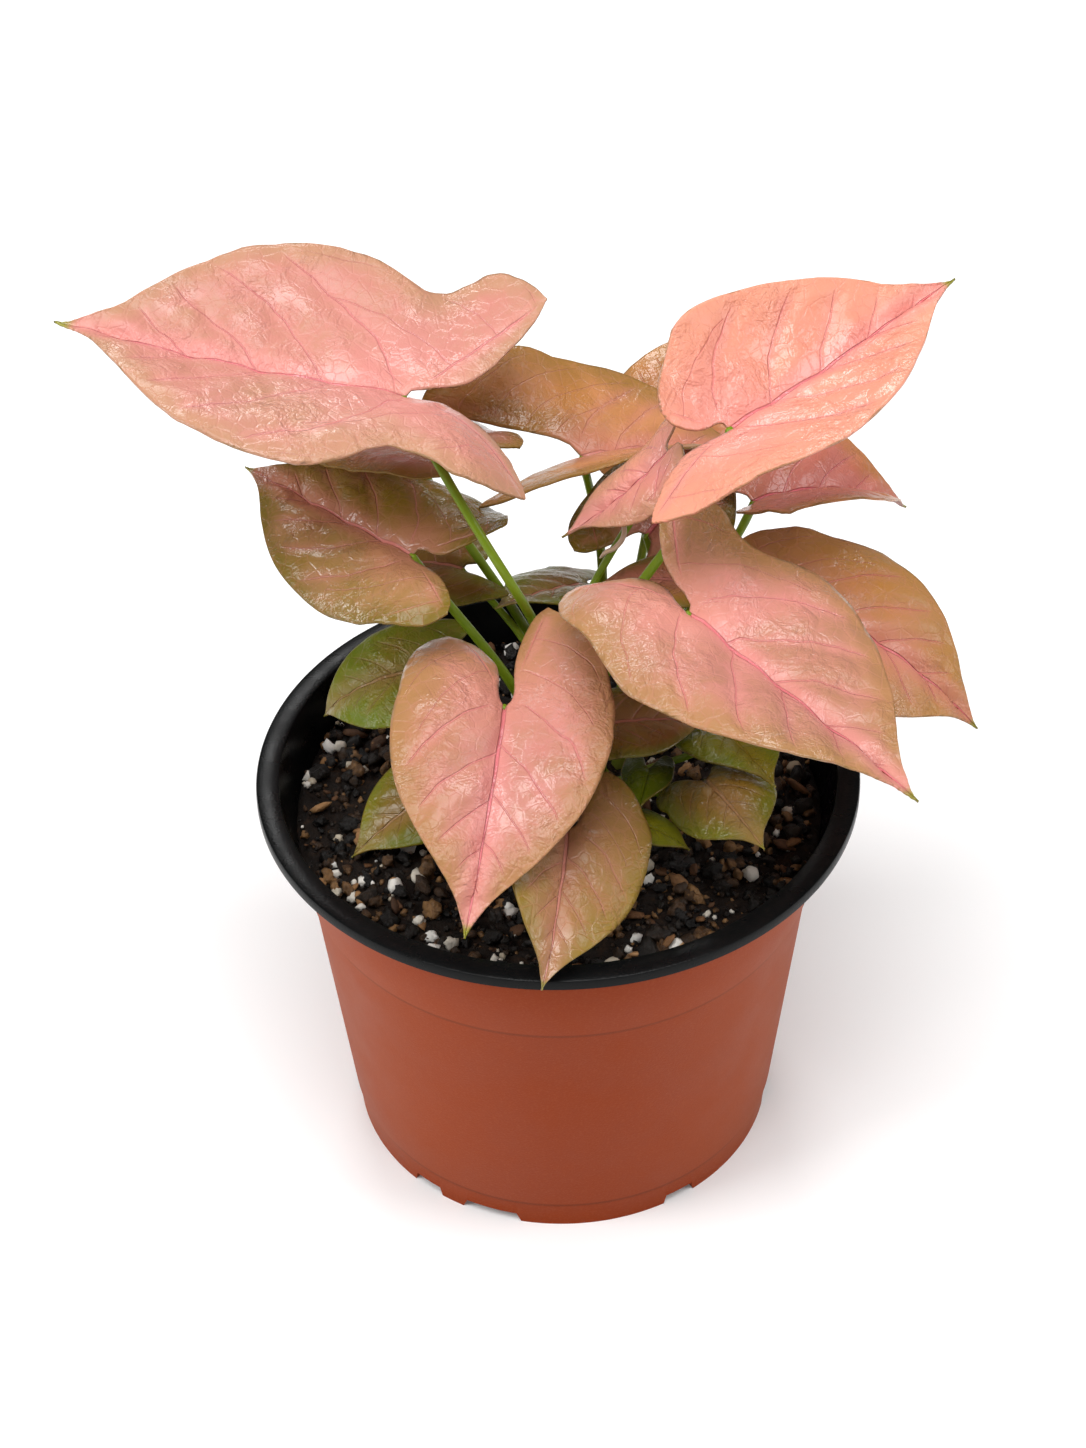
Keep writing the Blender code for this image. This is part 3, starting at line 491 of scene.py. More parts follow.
def lobe_lines(g, rim, size, wobble):
    """The same for the veins that run back into the lobes."""
    length = g.times(size, 1000.0)
    back, off, sign = g.split(g.attribute("lobe"))
    out = g.math("ABSOLUTE", off)
    off_main = g.times(g.math("ABSOLUTE", g.times(wobble, 0.02, off)), length)
    shown = g.times(g.fade(rim, 1.0, 4.0), g.math("GREATER_THAN", back, 0.0))
    line = g.times(g.fade(off_main, 0.10, 0.45, 0.6, 0.0), shown)
    band = g.times(g.fade(off_main, 0.4, 4.0, 0.5, 0.0), shown)
    bend = g.times(g.times(out, out), LOBE_VEIN_CURVE)
    count = g.times(g.math("ADD", back, bend), 1.0 / LOBE_VEIN_SPACING, wobble)
    away = g.times(g.math("PINGPONG", count, 0.5), g.times(length, LOBE_VEIN_SPACING))
    outer = g.times(g.math("GREATER_THAN", sign, 0.0), shown)
    return g.larger(line, g.times(g.fade(away, 0.06, 0.32, 0.35, 0.0), outer)), band


def leaf_colour(g, look, flat, line, band, net):
    """Two blotched tints, and on them the margin, grain, soft bands, veins and tip."""
    along, side, rim = flat
    blotch = g.math("SUBTRACT", g.noise(42.0, 4.0, 0.62, 0.5), 0.5)
    drift = g.times(along, look.lean[0], g.times(side, 2 * look.lean[1]))
    back = g.split(g.attribute("lobe"))[0]
    lobe_share = g.times(g.math("GREATER_THAN", side, 0.0), look.lobes[0] - look.lobes[1], look.lobes[1])
    drift = g.times(g.fade(back, 0.02, 0.22), lobe_share, drift)
    share = g.math("ADD", g.times(blotch, BLOTCH_SPREAD, look.lean[2]), drift, clamp=True)
    colour = g.mix(share, look.main, look.second)
    broad = g.times(blotch, 3.0 * look.edge_width, rim)
    colour = g.mix(g.fade(broad, 0.0, 2.6 * look.edge_width, 0.75, 0.0), colour, look.edge)
    colour = g.mix(g.fade(g.noise(520.0, 4.0, 0.7), 0.40, 0.75, 0.0, 0.22), colour, look.second)
    colour = g.mix(g.fade(g.noise(150.0, 3.0), 0.5, 0.75, 0.0, 0.25), colour, look.edge)
    colour = g.mix(g.times(band, look.bands), colour, look.glow)
    colour = g.mix(g.times(net, 0.3), colour, look.glow)
    colour = g.mix(g.times(line, look.lines), colour, look.vein)
    colour = g.mix(g.fade(rim, 0.15, 0.55, 0.55, 0.0), colour, MARGIN_LINE)
    return g.mix(g.fade(along, 0.93, 0.975), colour, look.tip)


def leaf_relief(g, line, net, depth):
    """Veins pressed in, puckers along them, and a fine grain."""
    crease = g.math("ABSOLUTE", g.math("SUBTRACT", g.noise(110.0, 4.0, 0.55, 0.9), 0.5))
    pucker = g.noise(230.0, 3.0, 0.6, 0.6)
    patch = g.fade(g.noise(60.0, 2.0), 0.42, 0.60, 0.15, 1.0)
    height = g.times(g.times(crease, -4.0, g.times(pucker, 1.8)), patch)
    height = g.times(g.noise(1500.0, 2.0), 0.16, height)
    height = g.times(line, -0.8, g.times(net, -0.3, height))
    g.bump(height, depth)


def leaf_material(name, look, under=False):
    """A blade's skin: blotched colour, fine veins in soft bands, and a patchy satin gloss."""
    g = Graph(name)
    flat = g.split(g.attribute("flat"))
    along, side, rim = flat
    size = g.attribute("size", "Fac")
    wobble = g.times(g.math("SUBTRACT", g.noise(45.0, 2.0), 0.5), 0.55)
    line, band = vein_lines(g, along, side, rim, size, wobble)
    lobe_line, lobe_band = lobe_lines(g, rim, size, wobble)
    line = g.larger(line, lobe_line)
    near_foot = g.times(g.attribute("foot", "Fac"), 1000.0)
    band = g.larger(g.larger(band, lobe_band), g.fade(near_foot, 2.0, g.times(size, 330.0), 0.75, 0.0))
    net = g.fade(g.net(260.0), 0.0, 0.09, 0.35, 0.0)
    colour = leaf_colour(g, look, flat, line, band, net)
    gloss = {"Specular_IOR_Level": 0.26, "Coat_Roughness": 0.12}
    if under:
        leaf_relief(g, line, net, 0.0003)
        return g.finish(g.mix(0.75, colour, UNDERSIDE), 0.6, **gloss)
    leaf_relief(g, line, net, 0.0005)
    g.feed(g.shader.inputs["Coat Weight"], g.fade(g.noise(38.0, 3.0), 0.46, 0.62, 0.03, 0.75))
    rough = g.fade(g.noise(75.0, 3.0), 0.3, 0.7, look.gloss - 0.03, look.gloss + 0.12)
    return g.finish(colour, rough, **gloss)


def stalk_material():
    """Smooth green stalks, browner at the foot."""
    g = Graph("stalk_green")
    streak = g.noise(160.0, 3.0, 0.6)
    colour = g.mix(streak, (0.12, 0.20, 0.004), (0.24, 0.33, 0.015))
    height = g.split(g.place)[2]
    colour = g.mix(g.fade(height, SOIL_TOP + 0.012, SOIL_TOP - 0.004, 0.0, 0.5), colour, (0.24, 0.17, 0.07))
    g.bump(g.noise(900.0, 2.0), 0.0002, 0.4)
    return g.finish(colour, 0.34, Subsurface_Weight=0.1, Subsurface_Radius=(0.5, 1.0, 0.2),
                    Subsurface_Scale=0.001, Specular_IOR_Level=0.3)


def sheath_material():
    """The thin pale sheath round a young leaf's stalk."""
    g = Graph("sheath_pale")
    colour = g.mix(g.noise(200.0, 3.0), (0.52, 0.36, 0.22), (0.62, 0.42, 0.30))
    return g.finish(colour, 0.4, Subsurface_Weight=0.15, Subsurface_Radius=(1.0, 0.5, 0.3),
                    Subsurface_Scale=0.001)


def pot_outside_material():
    """Matte brick-orange plastic, faintly clouded, with a band of painted shade under each ledge."""
    g = Graph("pot_orange")
    cloud = g.noise(30.0, 4.0, 0.6)
    grain = g.noise(1500.0, 2.0, 0.6)
    colour = g.mix(cloud, (0.245, 0.030, 0.002), (0.282, 0.037, 0.003))
    colour = g.mix(g.fade(grain, 0.45, 0.75, 0.0, 0.18), colour, (0.42, 0.10, 0.035))
    height = g.split(g.place)[2]
    # Painted shade: a dark band just under each ledge, where the step shades the wall below it
    for ledge in (LEDGE_HEIGHT, FOOT_LEDGE_HEIGHT):
        away = g.math("ABSOLUTE", g.math("SUBTRACT", height, ledge - LEDGE_SHADE_HALF_WIDTH))
        colour = g.mix(g.fade(away, 0.2 * LEDGE_SHADE_HALF_WIDTH, LEDGE_SHADE_HALF_WIDTH, 0.45, 0.0), colour, (0.10, 0.018, 0.005))
    g.bump(g.noise(2200.0, 2.0, 0.6), 0.00010, 0.4)
    return g.finish(colour, g.fade(cloud, 0.3, 0.7, 0.42, 0.52), Specular_IOR_Level=0.06,
                    Sheen_Weight=0.19, Sheen_Roughness=0.4, Sheen_Tint=(1.0, 0.40, 0.20, 1.0))


def pot_inside_material():
    """The black plastic of the lip and the inside."""
    g = Graph("pot_black")
    dust = g.fade(g.noise(300.0, 4.0, 0.7), 0.55, 0.8, 0.0, 0.25)
    colour = g.mix(dust, (0.003, 0.0033, 0.0035), (0.018, 0.016, 0.012))
    g.bump(g.noise(1400.0, 2.0), 0.00015, 0.4)
    return g.finish(colour, g.fade(g.noise(90.0, 3.0), 0.3, 0.7, 0.24, 0.36), Specular_IOR_Level=0.13)


def mix_material():
    """Damp dark potting mix."""
    g = Graph("potting_mix")
    clod = g.noise(260.0, 6.0, 0.7)
    colour = g.ramp(clod, (0.30, (0.002, 0.001, 0.0005)), (0.55, (0.012, 0.006, 0.003)),
                    (0.75, (0.045, 0.021, 0.008)))
    g.bump(g.noise(700.0, 6.0, 0.75), 0.0012, 0.9)
    return g.finish(colour, g.fade(clod, 0.3, 0.7, 0.45, 0.85), Specular_IOR_Level=0.25)


def chunk_material(name, tones, scale, roughness, bump):
    """Loose bits whose tone varies from one to the next."""
    g = Graph(name)
    speckle = g.times(g.noise(scale, 4.0, 0.65), 0.5, -0.25)
    tone = g.math("ADD", g.attribute("tone", "Fac"), speckle)
    colour = g.ramp(tone, *tones)
    g.bump(g.noise(scale * 1.7, 5.0, 0.7), bump, 0.8)
    return g.finish(colour, roughness, Specular_IOR_Level=0.4)


def floor_material():
    """A plain pale floor."""
    g = Graph("floor_pale")
    return g.finish((0.93, 0.93, 0.93), 0.8, Emission_Color=(1.0, 1.0, 1.0, 1.0), Emission_Strength=0.07)


def new_object(name, data):
    """Makes an object and puts it in the scene."""
    obj = bpy.data.objects.new(name, data)
    bpy.context.scene.collection.objects.link(obj)
    return obj


def finished_mesh(name, build):
    """Turns a mesh under construction into a finished one."""
    mesh = bpy.data.meshes.new(name)
    build.to_mesh(mesh)
    build.free()
    return mesh


def piece(name, shape, materials, replaced=()):
    """Puts a smooth piece in the scene that rides on the frame and stands for its CAD nodes."""
    mesh = shape if isinstance(shape, bpy.types.Mesh) else finished_mesh(name, shape)
    for material in materials:
        mesh.materials.append(material)
    mesh.shade_smooth()
    obj = new_object(name, mesh)
    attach(obj, "root")
    if replaced:
        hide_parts(*replaced)
    return obj


def ring_of(build, radius, height, turns):
    """A level ring of points round the pot's axis."""
    return [build.verts.new((radius * cos(t), radius * sin(t), height)) for t in turns]


def smooth_path(points, count):
    """A Catmull-Rom curve through these points, as this many of its own."""
    ends = np.vstack([2 * points[0] - points[1], points, 2 * points[-1] - points[-2]])
    spans = len(points) - 1
    path = []
    for step in np.linspace(0.0, spans, count):
        span = min(int(step), spans - 1)
        t = step - span
        a, b, c, d = ends[span:span + 4]
        straight = 2 * b + (c - a) * t
        bend = (2 * a - 5 * b + 4 * c - d) * t**2 + (3 * b - a - 3 * c + d) * t**3
        path.append(0.5 * (straight + bend))
    return np.array(path)


OUTER_PATH = smooth_path(np.array(OUTER_EDGE), 241)[::-1]
INNER_PATH = smooth_path(np.array(INNER_EDGE), 97)


def edge_shares(station, point=0.0, bulge=0.0):
    """The inner and outer edge of a half blade at a station from 1, the tip, to -1, the lobe's end."""
    outer = float(np.interp(station, OUTER_PATH[:, 0], OUTER_PATH[:, 1]))
    if station >= 0:
        return 0.0, outer
    inner = float(np.interp(station, INNER_PATH[:, 0], INNER_PATH[:, 1]))
    inner -= bulge * sin(-pi * station)
    if point and station < -POINT_START:
        inner_start, outer_start = edge_shares(-POINT_START, 0.0, bulge)
        middle, half = (inner + outer) / 2, (outer - inner) / 2
        tapered = (outer_start - inner_start) / 2 * (1 + station) / (1 - POINT_START)
        half += point * (tapered - half)
        return middle - half, middle + half
    return inner, outer


def flat_point(leaf, side, station, across):
    """A point of the half blade laid flat: along the midrib and out from it, in metres."""
    inner, outer = edge_shares(station, leaf.point[side], leaf.bulge[side])
    if station > 0:
        station += leaf.fullness * 4 * station * (1 - station) ** 2
        x = station * leaf.length
    else:
        x = station * leaf.lobe[side] * leaf.length
    from_waist = (x / leaf.length + leaf.waist_place) / WAIST_REACH
    waist = 1 - leaf.waist[side] * exp(-(from_waist**2))
    y = (inner + (outer - inner) * across) * leaf.width[side] * leaf.length * waist
    return x, y + leaf.splay[side] * max(-x, 0.0)


def arc(turn, start, distance):
    """Where a sheet gets to that leaves at angle start and curves by turn radians a metre."""
    turn = turn if abs(turn) > 1e-4 else 1e-4
    out = (sin(start + turn * distance) - sin(start)) / turn
    up = (cos(start) - cos(start + turn * distance)) / turn
    return out, up


def bent_point(leaf, side, x, y, wave=0.0):
    """Bends a flat point: along the midrib, out across the half blade, and twisted about the midrib."""
    half = leaf.width[side] * leaf.length
    out, up = arc(radians(leaf.curl[side]) / half, radians(leaf.fold[side]), y)
    up += wave
    out = out if side == 0 else -out
    twist = radians(leaf.twist) * x / leaf.length
    sideways = out * cos(twist) - up * sin(twist)
    lift = out * sin(twist) + up * cos(twist)
    bend, reach = (leaf.droop, 1.0) if x >= 0 else (leaf.lobe_droop[side], leaf.lobe[side])
    turn = radians(bend) / (reach * leaf.length)
    along, drop = arc(turn, 0.0, abs(x))
    along = along if x >= 0 else -along
    slope = -turn * x
    return Vector((along - sin(slope) * lift, sideways, cos(slope) * lift - drop))


def leaf_frame(leaf):
    """The blade's own axes in the world: ahead along the midrib, to its left, and up out of it."""
    heading, pitch, roll = (radians(a) for a in (leaf.heading, leaf.pitch, leaf.roll))
    level_ahead = Vector((cos(heading), sin(heading), 0.0))
    ahead = level_ahead * cos(pitch) + Vector((0.0, 0.0, sin(pitch)))
    level = Vector((-sin(heading), cos(heading), 0.0))
    left = level * cos(roll) + ahead.cross(level) * sin(roll)
    up = ahead.cross(left)
    return Matrix((ahead, left, up)).transposed()


def vein_start(u, a):
    """Where the lateral vein through a flat point leaves the midrib; all in blade lengths."""
    return (u - VEIN_LEAN * a - VEIN_CURVE * a * a) / (1 + VEIN_LEAN_GROWTH * a)


def lobe_field(leaf, side, x, y):
    """Where a flat point lies along and off the line from the stalk to the lobe's end, in blade lengths."""
    end_x, end_y = flat_point(leaf, side, -1.0, 0.0)
    reach = hypot(end_x, end_y) * leaf.length
    back = (x * end_x + y * end_y) / reach
    off = (y * -end_x + x * end_y) / reach
    return back, off, 1.0 if off > 0 else -1.0


def surface_lift(leaf, side, x, y, rim):
    """How far the blade is puffed up between its veins and crumpled, in metres."""
    size = min(leaf.length / 0.06, 1.2)
    u, a = x / leaf.length, y / leaf.length
    count = vein_start(u, a) / VEIN_SPACING + VEIN_STAGGER * (1 - side)
    inland = min(rim / 5.0, 1.0)
    puff = abs(sin(pi * count)) if count > VEIN_FIRST else 0.6
    groove = exp(-((1000 * y / 2.0) ** 2)) if x >= 0 else 0.0
    seed = leaf.heading
    crumple = noise.fractal(Vector((x * 75, y * 75, seed)), 0.7, 2.0, 3)
    broad = noise.noise(Vector((x * 28, y * 28, seed + 5.0)))
    return size * (PUFF * (puff * inland - 0.8 * groove) + CRUMPLE * (0.7 * crumple + 0.8 * broad))


def outline(leaf, side):
    """The half blade's flat outline, to measure the margin from."""
    outer = [flat_point(leaf, side, s, 1.0) for s in np.linspace(1.0, -1.0, 90)]
    inner = [flat_point(leaf, side, s, 0.0) for s in np.linspace(-1.0, 0.0, 30)]
    return np.array(outer + inner)


def rim_distance(points, edge):
    """How far each point is from an outline, in millimetres."""
    gaps = points[:, None, :] - edge[None, :, :]
    return 1000 * np.sqrt((gaps**2).sum(-1)).min(axis=1)


def within_box(point):
    """The point, kept half a blade's thickness inside the CAD's box."""
    low, high = CAD_BOX
    half = 0.5 * BLADE_THICKNESS
    return Vector([min(max(v, a + half), b - half) for v, a, b in zip(point, low, high)])


def blade_grid(leaf):
    """Stations from the tip, 1, to the lobe's end, -1, closer together at both, and the steps across."""
    ahead, behind, across = BIG_BLADE_STEPS if leaf.length > BIG_BLADE else SMALL_BLADE_STEPS
    stations = [cos(0.5 * pi * i / ahead) for i in range(ahead)]
    stations += [0.0] + [-sin(0.5 * pi * i / behind) for i in range(1, behind + 1)]
    return stations, across


def edge_lift(leaf, side, station, share):
    """How far the margin waves and ruffles at a share of the way out, in metres."""
    beat = 7.0 * leaf.length / SMALL_BLADE + 2.1 * side
    wave = EDGE_WAVE * leaf.length * sin(EDGE_WAVES * pi * station + beat)
    ruffle = 0.22 * wave * sin(9.0 * pi * station + beat)
    return (wave * share**2 + ruffle * share**4) * (1 - station**4)


def blade_points(leaf, stations, across):
    """The blade's points, their numbers by half and place, and what its materials read at each."""
    axes = leaf_frame(leaf)
    points, flats, lobes, feet, index = [], [], [], [], {}
    for side in (0, 1):
        edge = outline(leaf, side)
        sign = 1 if side == 0 else -1
        for i, station in enumerate(stations):
            flat = [flat_point(leaf, side, station, j / across) for j in range(across + 1)]
            rims = rim_distance(np.array(flat), edge)
            for j, (x, y) in enumerate(flat):
                if j and i in (0, len(stations) - 1):
                    index[side, i, j] = index[side, i, 0]
                    continue
                if side == 1 and j == 0 and station >= 0:
                    index[side, i, j] = index[0, i, 0]
                    continue
                lift = edge_lift(leaf, side, station, j / across)
                lift += surface_lift(leaf, side, x, y, rims[j])
                index[side, i, j] = len(points)
                points.append(within_box(Vector(leaf.place) + axes @ bent_point(leaf, side, x, y, lift)))
                flats.append((x / leaf.length, sign * y / leaf.length, rims[j]))
                lobes.append(lobe_field(leaf, side, x, y))
                feet.append(hypot(x, y))
    sizes = [leaf.length] * len(points)
    return points, index, {"flat": flats, "lobe": lobes, "size": sizes, "foot": feet}


def blade_faces(index, rows, across):
    """Faces between neighbouring points, with both halves facing up."""
    faces = []
    for side in (0, 1):
        for i in range(rows - 1):
            for j in range(across):
                corners = (index[side, i, j], index[side, i, j + 1], index[side, i + 1, j + 1],
                           index[side, i + 1, j])
                ring = list(dict.fromkeys(corners))
                faces.append(ring if side == 0 else ring[::-1])
    return faces


def write_attribute(mesh, name, values):
    """Keeps a number or a vector at each point, for the materials."""
    kind, field = ("FLOAT_VECTOR", "vector") if np.ndim(values) == 2 else ("FLOAT", "value")
    layer = mesh.attributes.new(name, kind, "POINT")
    layer.data.foreach_set(field, np.array(values, np.float32).ravel())


def blade(leaf):
    """A heart- or arrow-shaped blade with veined, puffed skin."""
    stations, across = blade_grid(leaf)
    points, index, fields = blade_points(leaf, stations, across)
    mesh = bpy.data.meshes.new(leaf.name + "_skin")
    mesh.from_pydata(points, [], blade_faces(index, len(stations), across))
    for name, values in fields.items():
        write_attribute(mesh, name, values)
    look = LOOKS[leaf.name]
    skins = [leaf_material(leaf.name + "_top", look), leaf_material(leaf.name + "_under", look, under=True)]
    obj = piece(leaf.name + "_skin", mesh, skins, [leaf.name])
    solid = obj.modifiers.new("Thickness", "SOLIDIFY")
    solid.thickness = BLADE_THICKNESS
    solid.offset = 0.0
    solid.material_offset = 1


def stalk_route(leaf, base, order):
    """The leaf stalk's line, from inside its shoot to the blade."""
    axes = leaf_frame(leaf)
    end = Vector(leaf.place) - axes.col[2] * STALK_END_GAP
    start = Vector((base[0], base[1], SOIL_TOP + STALK_SPACING * order))
    reach = (end - start).length
    arrive = (axes.col[2] * 0.8 + axes.col[0] * 0.35 + Vector((0.0, 0.0, 0.5))).normalized()
    leave = (Vector((0.0, 0.0, 1.0)) + 0.35 * (end - start).normalized()).normalized()
    first = start + leave * STALK_START * reach + Vector((*leaf.bow, 0.0))
    second = end - arrive * STALK_END * reach + Vector((*leaf.sway, 0.0))
    route = []
    for step in range(STALK_POINTS):
        t = step / (STALK_POINTS - 1)
        s = 1 - t
        route.append(s**3 * start + 3 * s * s * t * first + 3 * s * t * t * second + t**3 * end)
    route.append(Vector(leaf.place) - axes.col[2] * 0.0002)
    return route


def tube(build, points, radii, sides=14):
    """Adds a round closed tube along these points to a mesh."""
    rings = []
    normal = Vector((1.0, 0.0, 0.0))
    for i, (point, radius) in enumerate(zip(points, radii)):
        ahead = points[min(i + 1, len(points) - 1)] - points[max(i - 1, 0)]
        ahead.normalize()
        normal = (normal - ahead * normal.dot(ahead)).normalized()
        other = ahead.cross(normal)
        ring = []
        for k in range(sides):
            turn = 2 * pi * k / sides
            ring.append(build.verts.new(point + (normal * cos(turn) + other * sin(turn)) * radius))
        rings.append(ring)
    for a, b in zip(rings, rings[1:]):
        for k in range(sides):
            n = (k + 1) % sides
            build.faces.new((a[k], a[n], b[n], b[k]))
    build.faces.new(rings[0][::-1])
    build.faces.new(rings[-1])


def shoot(name, base, leaves, material):
    """A shoot's stem and its leaf stalks, which swell a little under the blades."""
    build = bmesh.new()
    heights = np.linspace(SOIL_TOP - STEM_DEPTH, SOIL_TOP + STEM_SHOW, STEM_RINGS)
    line = [Vector((*base, height)) for height in heights]
    radii = [STEM_RADIUS * min(1.0, 1.25 - 0.75 * i / (STEM_RINGS - 1)) for i in range(STEM_RINGS)]
    tube(build, line, radii, 18)
    for order, leaf in enumerate(leaves):
        route = stalk_route(leaf, base, order)
        thick = STALK_RADIUS if leaf.length > SMALL_BLADE else SMALL_STALK_RADIUS
        shares = np.linspace(0.0, 1.0, len(route))
        radii = [thick * (1 - (1 - STALK_TAPER) * share) for share in shares]
        for back, swell in STALK_SWELLS:
            radii[-back] *= swell
        radii[-1] *= 0.75
        tube(build, route, radii)
    piece(name + "_stalks", build, [material], [name])


def sheath():
    """The pale free edge of the sheath between the young stalks."""
    build = bmesh.new()
    route = [Vector(place) for place in smooth_path(np.array(SHEATH_EDGE), 40)]
    shares = np.linspace(-1.0, 1.0, len(route))
    tube(build, route, [SHEATH_RADIUS * (1.15 - 0.75 * share**4) for share in shares], 10)
    piece("young_sheath", build, [sheath_material()])


def outer_wall():
    """The pot's outside from under the lip to the foot, as (radius, height)."""
    return [
        (COLLAR_TOP_RADIUS, POT_HEIGHT - LIP_DEPTH),
        (COLLAR_FOOT_RADIUS, COLLAR_FOOT_HEIGHT),
        (LEDGE_RADIUS + LEDGE_STEP, LEDGE_HEIGHT + LEDGE_EASE),
        (LEDGE_RADIUS, LEDGE_HEIGHT - LEDGE_EASE),
        (FOOT_LEDGE_RADIUS, FOOT_LEDGE_HEIGHT + LEDGE_EASE),
        (FOOT_LEDGE_RADIUS - LEDGE_STEP, FOOT_LEDGE_HEIGHT - LEDGE_EASE),
        (BASE_RADIUS, 0.0),
    ]


def pot_profile():
    """The pot's half section and where its black part runs: floor, inside, lip, outside and foot."""
    inside = [(radius - WALL, height) for radius, height in outer_wall()[1:-1]][::-1]
    lip_inner = RIM_RADIUS - LIP_WIDTH
    lip = [
        (lip_inner - 0.0004, POT_HEIGHT - LIP_DEPTH),
        (lip_inner, POT_HEIGHT - LIP_ROUND),
        (lip_inner + 0.3 * LIP_ROUND, POT_HEIGHT - 0.3 * LIP_ROUND),
        (lip_inner + LIP_ROUND, POT_HEIGHT),
        (RIM_RADIUS - LIP_ROUND, POT_HEIGHT),
        (RIM_RADIUS - 0.3 * LIP_ROUND, POT_HEIGHT - 0.3 * LIP_ROUND),
        (RIM_RADIUS, POT_HEIGHT - LIP_ROUND),
        (RIM_RADIUS, POT_HEIGHT - LIP_DEPTH + LIP_ROUND),
        (RIM_RADIUS - LIP_ROUND, POT_HEIGHT - LIP_DEPTH),
        (COLLAR_TOP_RADIUS, POT_HEIGHT - LIP_DEPTH + 0.0001),
    ]
    floor = [(0.0, FLOOR), (BASE_RADIUS - WALL, FLOOR)]
    black = len(floor + inside + lip) - 1
    return floor + inside + lip + outer_wall() + [(0.0, 0.0)], black


def ring_body(build, profile, segments, black):
    """Turns a profile about Z. Faces up to the black point take material 1."""
    rings = []
    turns = [2 * pi * k / segments for k in range(segments)]
    for radius, height in profile:
        if radius == 0.0:
            rings.append([build.verts.new((0.0, 0.0, height))] * segments)
        else:
            rings.append(ring_of(build, radius, height, turns))
    for row, (a, b) in enumerate(zip(rings, rings[1:])):
        for k in range(segments):
            n = (k + 1) % segments
            face = build.faces.new(list(dict.fromkeys((a[k], b[k], b[n], a[n]))))
            face.material_index = 1 if row < black else 0


def notch_cutters():
    """Blocks where the foot is notched, in a collection of their own."""
    helpers = bpy.data.collections.new("pot_cutters")
    bpy.context.scene.collection.children.link(helpers)
    for repeat in range(NOTCH_REPEATS):
        for middle, width in NOTCHES:
            angle = radians(middle + repeat * 360.0 / NOTCH_REPEATS - 90.0)
            box = bmesh.new()
            bmesh.ops.create_cube(box, size=1.0)
            for vertex in box.verts:
                taper = 1.0 - NOTCH_TAPER * (vertex.co.z + 0.5)
                vertex.co.x *= 2 * NOTCH_REACH
                vertex.co.y *= radians(width) * BASE_RADIUS * taper
                vertex.co.z *= 2 * NOTCH_HEIGHT
            cutter = bpy.data.objects.new("notch_cutter", finished_mesh("notch_cutter", box))
            cutter.location = (BASE_RADIUS * cos(angle), BASE_RADIUS * sin(angle), 0.0)
            cutter.rotation_euler = (0.0, 0.0, angle)
            helpers.objects.link(cutter)
    return helpers


def pot():
    """The two-tone pot: orange outside, black inside and on its lip, with notches through the foot."""
    build = bmesh.new()
    profile, black = pot_profile()
    ring_body(build, profile, POT_SEGMENTS, black)
    bmesh.ops.recalc_face_normals(build, faces=build.faces)
    body = piece("pot_body", build, [pot_outside_material(), pot_inside_material()], ["pot"])
    helpers = notch_cutters()
    cut = body.modifiers.new("Notches", "BOOLEAN")
    cut.operation = "DIFFERENCE"
    cut.operand_type = "COLLECTION"
    cut.collection = helpers
    cut.solver = "EXACT"
    apply_modifiers(body)
    for cutter in list(helpers.objects):
        bpy.data.objects.remove(cutter)
    bpy.data.collections.remove(helpers)
    body.data.shade_smooth()
    body.data.set_sharp_from_angle(angle=radians(SHARP_ANGLE))


def apply_modifiers(obj):
    """Replaces an object's mesh by the one that its modifiers give."""
    bpy.context.view_layer.update()
    graph = bpy.context.evaluated_depsgraph_get()
    mesh = bpy.data.meshes.new_from_object(obj.evaluated_get(graph))
    obj.modifiers.clear()
    obj.data = mesh


def inner_radius(height):
    """The pot's inner radius at a height."""
    wall = outer_wall()[::-1]
    return float(np.interp(height, [p[1] for p in wall], [p[0] for p in wall])) - WALL


def soil_height(x, y):
    """How high the mix stands at a place: crumbs on lumps."""
    wide = noise.fractal(Vector((x * 60, y * 60, 1.7)), 1.0, 2.0, 3)
    fine = noise.fractal(Vector((x * 330, y * 330, 4.1)), 0.8, 2.1, 4)
    return SOIL_TOP + 0.0016 * wide + 0.0011 * fine


def mix():
    """The potting mix as one body with a crumbly top."""
    build = bmesh.new()
    top_radius = inner_radius(SOIL_TOP) - SOIL_GAP
    turns = [2 * pi * k / SOIL_SEGMENTS for k in range(SOIL_SEGMENTS)]
    rows = []
    for ring in range(1, SOIL_RINGS + 1):
        radius = top_radius * ring / SOIL_RINGS
        drop = SOIL_EDGE_DROP * (ring / SOIL_RINGS) ** 40
        row = []
        for turn in turns:
            x, y = radius * cos(turn), radius * sin(turn)
            row.append(build.verts.new((x, y, soil_height(x, y) - drop)))
        rows.append(row)
    for height in (SOIL_SHOULDER, LEDGE_HEIGHT, FOOT_LEDGE_HEIGHT, FLOOR + GAP):
        radius = inner_radius(height) - SOIL_GAP - SOIL_SLACK
        rows.append(ring_of(build, radius, height, turns))
    middle = build.verts.new((0.0, 0.0, soil_height(0.0, 0.0)))
    bottom = build.verts.new((0.0, 0.0, FLOOR + GAP))
    for k in range(SOIL_SEGMENTS):
        n = (k + 1) % SOIL_SEGMENTS
        build.faces.new((middle, rows[0][k], rows[0][n]))
        build.faces.new((bottom, rows[-1][n], rows[-1][k]))
        for a, b in zip(rows, rows[1:]):
            build.faces.new((a[k], b[k], b[n], a[n]))
    piece("potting_mix", build, [mix_material()], ["soil"])


